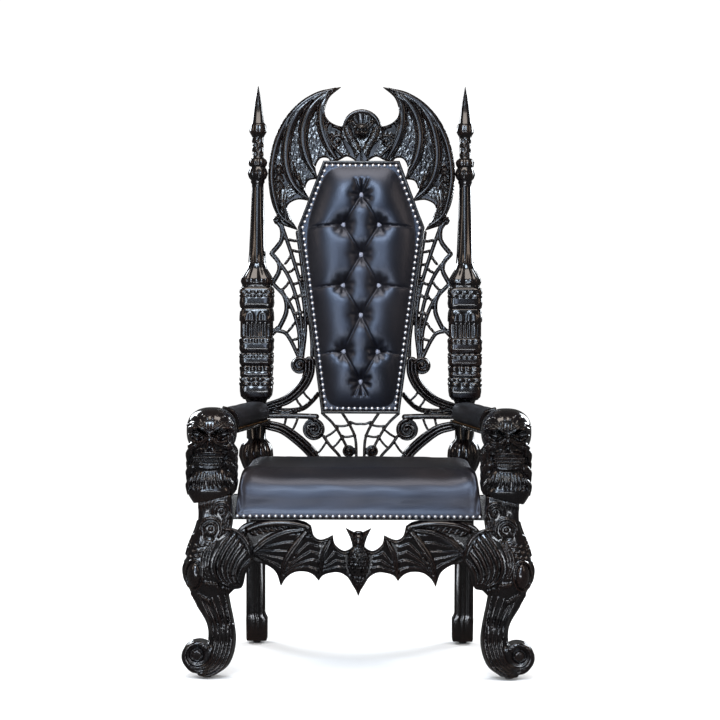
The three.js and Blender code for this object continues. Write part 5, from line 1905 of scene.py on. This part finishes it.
@dataclass
class SkullArm(SubAssembly):
    """An arm: a skull on a ruff of fur in front, a thin rail and a padded leather rest behind it."""

    middle: float = 414.0
    depth: float = 86.0
    height: float = 690.0
    rest_front: float = 166.0
    rest_rear: float = 626.0
    front_x: float = 388.0
    rear_x: float = 319.0
    half: float = 41.0
    low: float = 684.5
    top: float = 746.0
    slant: float = 0.24
    pitch: float = 1.5
    keep: float = 0.37
    lines: tuple = (
        (((1, 682), (20, 691), (40, 702), (58, 701), (66, 690)), (9, 13, 14, 11, 5), (9, 12, 11, 9, 3), Section.ROUND),
        (((3, 697), (20, 707), (38, 717), (52, 718)), (3, 6, 6, 3), (3, 5, 5, 2), Section.RIDGE),
        (((9, 676), (26, 664), (46, 666), (60, 682)), (5, 7, 8, 5), (6, 9, 9, 5), Section.ROUND),
        (((20, 679), (36, 673), (52, 682)), (3, 5, 3), (3, 5, 3), Section.ROUND),
        (((3, 677), (14, 664), (38, 648)), (5, 8, 4), (7, 9, 4), Section.ROUND),
        (((11, 671), (28, 659), (50, 651)), (4, 6, 4), (5, 6, 3), Section.ROUND),
        (((3, 667), (9, 652), (13, 640)), (4, 5, 3), (5, 6, 3), Section.ROUND),
        (((52, 648), (50, 626), (44, 598)), (8, 8, 5), (3, 4, 3), Section.SOFT),
        (((0, 600), (22, 600), (36, 606)), (5, 5, 3), (6, 5, 2), Section.ROUND),
        (((0, 590), (20, 590), (32, 596)), (6, 6, 3), (5, 4, 1), Section.ROUND),
        (((0, 634), (24, 633), (44, 629)), (6, 6, 4), (4, 4, 2), Section.SOFT),
        (((3, 694), (4, 703), (4, 714)), (3, 8, 2), (3, 8, 1), Section.RIDGE),
        (((11, 700), (14, 709), (15, 720)), (3, 8, 2), (3, 8, 1), Section.RIDGE),
        (((22, 709), (27, 717), (29, 727)), (3, 7, 2), (3, 7, 1), Section.RIDGE),
    )

    def face(self) -> Canvas:
        """Draws the carving of the skull's face and the ruff's fur."""
        board = Canvas((330, 500), (480, 770), 1.3)
        m = self.middle
        for side in (-1, 1):
            for knots, width, height, section in self.lines:
                board.stroke([(m + side * x, z) for x, z in knots], width, height, section, 0.0)
            for x, z in ((20, 737), (38, 734), (8, 731), (45, 712)):
                board.ball(m + side * x, z, 3.4, 3.4, 3, base=0.0)
        board.stroke([(m - 40, 626), (m + 6, 627), (m + 46, 624)], (3, 6, 3), (-2, -5, -2), Section.SOFT)
        for z, tall in ((619.5, 5.4), (609, 4.2)):
            for k in range(13):
                board.ball(m - 35 + 6.6 * k, z, 3.1, tall, 6.5, base=0.0)
        uneven = np.random.default_rng(21)
        for k in range(12):
            lean = (k - 5.5) / 5.5
            tip = (m + lean * 64 - 4, 534 + uneven.uniform(-2, 2) - 6 * lean)
            middle = (m + lean * 58 + uneven.uniform(-2, 2), 554)
            board.stroke([(m + lean * 45, 582), middle, tip], (3, 11, 3), (0, 5, 10), Section.RIDGE, 0.0)
        return board

    def skull(self) -> Shell:
        """Carves the right-hand skull and its ruff."""
        m, u, z = self.middle, self.depth, self.height
        block = Block((326, -8, 480), (504, 168, 764), self.pitch)
        rows = [(480, m + 16, 62, 24, 44, 3), (492, m + 12, 62, 38, 50, 3), (504, m + 5, 62, 53, 56, 3), (518, m + 1, 64, 65, 60, 3),
                (527, m, 65, 68, 62, 2.8), (534, m, 66, 66, 61, 2.8), (540, m, 66, 62, 59, 2.6), (556, m, 66, 61, 59, 2.6),
                (574, m, 66, 56, 55, 2.6), (590, m, 67, 49, 53, 2.8), (640, m, 76, 52, 62, 2.8), (690, m, 84, 58, 70, 2.6)]
        block.column(np.array(rows, float))
        block.ellipsoid((m, u, z), (70.5, 84, 66), 8, power=2.4)
        block.ellipsoid((m + 4, 24, 630), (40, 20, 15), 7)
        block.ellipsoid((m + 4, 22, 610), (43, 17, 27), 5, power=2.8)
        uneven = np.random.default_rng(33)
        for side in (-1, 1):
            block.ellipsoid((m + side * 46, 30, 650), (17, 20, 12), 7, roll=-side * 0.12, yaw=side * 0.5)
            block.ellipsoid((m + side * 37, 17, 704), (32, 14, 9), 7, roll=side * 0.2, yaw=side * 0.35)
            block.ellipsoid((m + side * 38, 4, 682), (27, 25, 14), 3, True, side * 0.22, side * 0.35)
            for row in range(5):
                for k in range(6):
                    deep = 34 + 25 * k + 12 * (row % 2) + uneven.uniform(-4, 4)
                    tall = 638 - 21 * row + uneven.uniform(-5, 5)
                    sweep = uneven.uniform(2, 14)
                    lock = [(m + side * x, deep + sweep * s, tall - drop) for x, drop, s in ((48, 0, 0), (60, 14, 0.4), (64, 40, 1))]
                    block.tube(lock, (13, 10, 2), 1.5)
        block.ellipsoid((m, 12, 668), (7, 13, 14), 5)
        block.ellipsoid((m + 1, 2, 650), (8, 14, 10), 2, True)
        block.press(self.face(), (0, -1, 0), (0, 2), 0.5)
        block.tube([(m - 30, 120, 754), (m - 54, 130, 742), (m - 66, 142, 716), (m - 66, 150, 690)], (4, 7, 7, 4), 3)
        block.keep(lambda gx, gy, gz: gy - 165.7 + 0 * gx + 0 * gz)
        block.keep(lambda gx, gy, gz: self.seat_plane(gx) - gz + 0 * gy)
        return block.surface()

    def seat_plane(self, x: np.ndarray) -> np.ndarray:
        """Returns the height of the slanted joint under the ruff."""
        return 504.3 - self.slant * (x - 401.0)

    def across(self, u: float) -> float:
        """Returns the x of the arm's middle line at a depth."""
        return self.front_x + (self.rear_x - self.front_x) * (u - self.rest_front) / (self.rest_rear - self.rest_front)

    def rest(self) -> Shell:
        """Draws the padded rest: a crowned bar of leather, drawn in at both ends."""
        levels = []
        angle = np.linspace(0, 2 * math.pi, 49)[:-1]
        for u in (*np.linspace(self.rest_front, self.rest_front + 12, 5), *np.linspace(self.rest_front + 30, self.rest_rear - 20, 30), *np.linspace(self.rest_rear - 10, self.rest_rear, 5)):
            near = min((u - self.rest_front) / 9, (self.rest_rear - u) / 9, 1.0)
            pull = 0.93 + 0.07 * math.sqrt(1 - (1 - near) ** 2)
            x = np.sign(np.cos(angle)) * np.abs(np.cos(angle)) ** 0.62 * self.half * pull
            up = np.sign(np.sin(angle)) * np.abs(np.sin(angle)) ** 0.72
            height = self.top - self.low
            z = self.low + height * np.where(up > 0, 0.42 + 0.58 * up * pull, 0.42 * (1 + up))
            z += 0.6 * math.sin(u / 23)
            levels.append(np.stack([self.across(u) + x, np.full_like(x, u), z], 1))
        shell = rings(np.array(levels))
        return Shell(shell.points, shell.quads[:, ::-1], shell.triangles[:, ::-1])

    def build(self) -> None:
        """Makes both arms."""
        self.pair("arm_skull", self.skull(), DATUM.upright, LACQUER, "lacquer", self.keep)
        rest = self.rest()
        rows = []
        for side in (-1, 1):
            for u in np.arange(self.rest_front + 8, self.rest_rear - 30, 11.4):
                rows.append(dome((self.across(u) + side * (self.half - 0.5), u, self.low + 5.5), 3.6, 2.8, 10, 3, 0, side))
        nails = Shell.joined(rows)
        for name, half, row in (("right", rest, nails), ("left", rest.mirrored(), nails.mirrored())):
            made = self.piece(f"padded_arm_rest_{name}", half.placed(DATUM.upright), ARM_LEATHER, "leather", [f"arm_pad_{name}"], 80)
            self.inflate(made, 6.0, 5.0, self.low + 10)
            self.thin(made, 0.5)
            self.piece(f"arm_nails_{name}", row.placed(DATUM.upright), BRONZE, "bronze_nail")
            self.dress(f"arm_rail_{name}", PLAIN_LACQUER)


@dataclass
class BatApron(SubAssembly):
    """The apron under the front rail: a bat with spread wings."""

    top_edge: Line = ((348, 404), (322, 430), (280, 441), (232, 446), (186, 444), (150, 437), (133, 426))
    notches: tuple[Line, ...] = (
        ((133, 426), (124, 396), (108, 387), (90, 391), (72, 400)),
        ((72, 400), (66, 374), (42, 356), (26, 360), (14, 371)),
    )
    lower: tuple[Line, ...] = (
        ((348, 350), (318, 336), (286, 322), (262, 318), (232, 297), (217, 256)),
        ((217, 256), (202, 280), (178, 296), (144, 297), (125, 288), (111, 272)),
        ((111, 272), (98, 288), (56, 296), (32, 284), (18, 264), (0, 236)),
    )
    rail: Line = ((140, 424), (186, 433), (236, 434), (290, 425), (345, 396))
    fingers: tuple[Line, ...] = (
        ((141, 419), (178, 371), (206, 325), (216, 262)),
        ((141, 419), (210, 408), (256, 387), (301, 352), (338, 346)),
        ((76, 392), (101, 339), (110, 278)),
    )
    arm: Line = ((141, 419), (124, 402), (104, 394), (76, 394))
    plane: float = 44.0
    back: float = 64.0
    pitch: float = 1.7

    def wing(self, board: Canvas) -> None:
        """Carves one wing: pleated membranes, double-ridged fingers and raised rims."""
        for k in range(8):
            x = 182 + 17 * k
            z = 426 - 0.0021 * max(x - 230, 0) ** 2
            board.stroke([(x + 6, z - 1), (x - 2, z - 8), (x - 14, z - 14)], (5, 12, 3), (3, 7, 2), Section.RIDGE)
        board.shingles([(338, 352), (301, 346), (262, 322), (232, 300), (219, 262)], [(300, 362), (254, 384), (208, 404), (172, 408), (146, 414)], 5, 5.5, 0.0, 0.2)
        board.shingles([(214, 268), (203, 284), (178, 300), (144, 300), (116, 280)], [(204, 322), (190, 346), (176, 368), (150, 400), (110, 392)], 5, 5.5, 0.0, 0.2)
        board.shingles([(108, 280), (96, 292), (58, 300), (34, 290)], [(99, 336), (90, 356), (76, 384), (46, 362)], 4, 5.0, 0.0, 0.2)
        for knots, width in zip(self.fingers, (22, 20, 17)):
            board.stroke(knots, (12, width, width * 0.85, 5), (9, 10, 9, 6), Section.ROUND, 3.0)
            board.stroke(knots, (3, 5, 4, 2), (-1, -3.4, -3.4, -1), Section.SOFT)
        board.stroke(self.rail, (14, 18, 19, 18, 12), (11, 13, 13, 12, 10), Section.ROUND, 3.0)
        board.stroke(self.arm, (14, 15, 13, 9), 11, Section.ROUND, 3.0)
        for knots in self.notches:
            rim = np.array(knots, float) - (0, 4)
            board.stroke(rim, 8, 9, Section.ROUND, 3.0)
        board.ball(141, 421, 11, 10, 14, base=3)

    def body(self, board: Canvas) -> None:
        """Carves the bat's furry body, its head and ears."""
        board.ball(0, 330, 31, 52, 22, base=4)
        board.ball(0, 282, 21, 44, 14, base=4)
        uneven = np.random.default_rng(5)
        for row in range(13):
            z = 372 - 9.5 * row
            half = 26 * math.sqrt(max(1 - ((z - 330) / 60) ** 2, 0.05)) if z > 300 else max(4.0, 22 - (300 - z) * 0.32)
            count = max(int(half / 4.2), 1)
            for k in range(-count, count + 1):
                x = half * (k + 0.5 * (row % 2)) / (count + 0.5)
                board.stroke([(x, z + 5), (x + uneven.uniform(-1.5, 1.5), z - 8)], (7.5, 2), (1.0, 4.6), Section.RIDGE)
        for side in (-1, 1):
            board.stroke([(side * 12, 398), (side * 22, 410), (side * 33, 416)], (16, 12, 2), (17, 17, 9), Section.RIDGE, 6.0)
            board.stroke([(side * 14, 352), (side * 26, 366), (side * 40, 362)], (10, 10, 5), 14, Section.RIDGE, 5.0)
        board.ball(0, 389, 18, 19, 18, base=12)
        for side in (-1, 1):
            board.ball(side * 7.5, 392, 4.4, 3.0, -6, side * 0.5)
            board.stroke([(side * 2, 398), (side * 8, 396), (side * 15, 400)], (3, 4, 2), 4)
        board.ball(0, 382, 6.5, 5, 5)
        board.stroke([(-8, 375), (0, 377), (8, 375)], (2, 3, 2), -3)

    def build(self) -> None:
        """Makes the apron from one carved half and its mirror image."""
        board = Canvas((-354, 354), (228, 452), self.pitch)
        notch = np.vstack([smooth(knots)[::-1] for knots in self.notches[::-1]])
        top = smooth(self.top_edge)[::-1]
        low = np.vstack([smooth(knots) for knots in self.lower])
        half = np.vstack([[(-0.5, 236), (-0.5, 372)], notch, top[1:], low])
        ears = np.array([(-36, 420), (-12, 408), (-6, 412), (6, 412), (12, 408), (36, 420), (24, 396), (19, 380), (16, 364), (-16, 364), (-19, 380), (-24, 396)], float)
        for loop in (half, half * (-1, 1), ears):
            board.outline([loop])
        board.widen([(0, 260), (0, 232)], (24, 3))
        board.height[:] = 2.0
        self.wing(board)
        half_way = len(board.a) // 2
        board.height[:half_way] = board.height[::-1][:half_way]
        self.body(board)
        board.ease(4.5, 4.0)
        x, z = board.grid()
        board.inside = np.minimum(board.inside, 442.4 - z)
        limit = np.interp(np.abs(x), (0, 296, 316, 360), (40, 40, 5, 4))
        board.height = np.minimum(board.height, limit)
        shell = board.board(self.plane, self.back).placed(DATUM.upright)
        self.piece("carved_bat_apron", shell, LACQUER, "lacquer", ["bat_apron"], keep=0.52)


@dataclass
class Studio:
    """Floor, lights, world and camera."""

    lens: float = 108.3
    camera: tuple[float, float, float] = (0.0457, -6.3785, 1.065)
    target: tuple[float, float, float] = (-0.0019, 0.2815, 0.874)
    roll: float = 0.0036
    lights: tuple[tuple[tuple[float, float, float], tuple[float, float], float, tuple[float, float, float]], ...] = (
        ((-0.5, -4.1, 3.6), (1.5, 0.9), 95.0, (0.72, 0.85, 1.0)),
        ((-0.05, -4.6, 1.95), (0.7, 1.2), 9.0, (0.62, 0.74, 1.0)),
        ((-1.25, -4.4, 2.0), (0.5, 1.6), 22.0, (0.66, 0.82, 1.0)),
        ((-3.0, -2.4, 2.6), (0.5, 2.0), 11.0, (1.0, 0.80, 0.64)),
        ((3.1, -2.3, 2.5), (0.5, 2.0), 11.0, (1.0, 0.78, 0.62)),
        ((0.0, -1.3, 4.2), (2.6, 1.6), 62.0, (1.0, 0.90, 0.82)),
        ((-1.5, -4.2, 0.9), (0.5, 1.2), 20.0, (0.80, 0.88, 1.0)),
        ((0.0, -4.4, 0.3), (2.2, 0.3), 26.0, (0.9, 0.94, 1.0)),
        ((-2.4, 3.0, 2.6), (1.2, 2.0), 90.0, (0.9, 0.95, 1.0)),
        ((2.6, 2.8, 2.2), (1.2, 2.0), 90.0, (0.9, 0.95, 1.0)),
    )
    aim: tuple[float, float, float] = (0.0, 0.0, 0.85)
    white: float = 1.08
    gloom: float = 0.075

    def build(self) -> None:
        """Sets up the studio."""
        scene = bpy.context.scene
        scene.view_settings.view_transform = "Standard"
        self.world()
        self.floor()
        for i, (spot, size, power, colour) in enumerate(self.lights, 1):
            data = bpy.data.lights.new(f"softbox_{i}", "AREA")
            data.shape, data.size, data.size_y = "RECTANGLE", *size
            data.energy, data.color = power, colour
            light = bpy.data.objects.new(data.name, data)
            light.location = spot
            light.rotation_euler = (Vector(self.aim) - Vector(spot)).to_track_quat("-Z", "Y").to_euler()
            light.visible_camera = False
            scene.collection.objects.link(light)
        data = bpy.data.cameras.new("camera")
        data.lens, data.sensor_width, data.clip_end = self.lens, 36.0, 100.0
        camera = bpy.data.objects.new("camera", data)
        camera.location = self.camera
        look = (Vector(self.target) - Vector(self.camera)).to_track_quat("-Z", "Y").to_euler()
        look.rotate_axis("Z", self.roll)
        camera.rotation_euler = look
        scene.collection.objects.link(camera)
        scene.camera = camera

    def world(self) -> None:
        """Makes a white surround that lights softly and stays dim in reflections."""
        world = bpy.data.worlds.new("studio")
        world.use_nodes = True
        tree = world.node_tree
        gloss = node(tree, "ShaderNodeLightPath", {}, "Is Glossy Ray")
        strength = self.white - gloss * (self.white - self.gloom)
        background = tree.nodes["Background"]
        background.inputs["Color"].default_value = rgb(1.0, 1.0, 1.0)
        tree.links.new(strength.socket, background.inputs["Strength"])
        bpy.context.scene.world = world

    def floor(self) -> None:
        """Lays the pale floor."""
        half = 30.0
        points = np.array([(-half, -half, 0), (half, -half, 0), (half, half, 0), (-half, half, 0)], float)
        made = bpy.data.objects.new("floor", Shell(points, np.array([[0, 1, 2, 3]])).mesh("floor"))
        made.data.materials.append(StudioFloor("studio_floor").material())
        bpy.context.scene.collection.objects.link(made)
        made.visible_glossy = False


def main() -> None:
    """Builds the throne and its studio."""
    logging.basicConfig(level=logging.INFO, format="%(message)s")
    Studio().build()
    parts = (BackPost(), CoffinBack(), Crest(), SideWeb(), LowerWeb(), SeatCushion(), FrontLeg(), SkullArm(), BatApron())
    for part in parts:
        part.build()


if __name__ == "__main__":
    main()
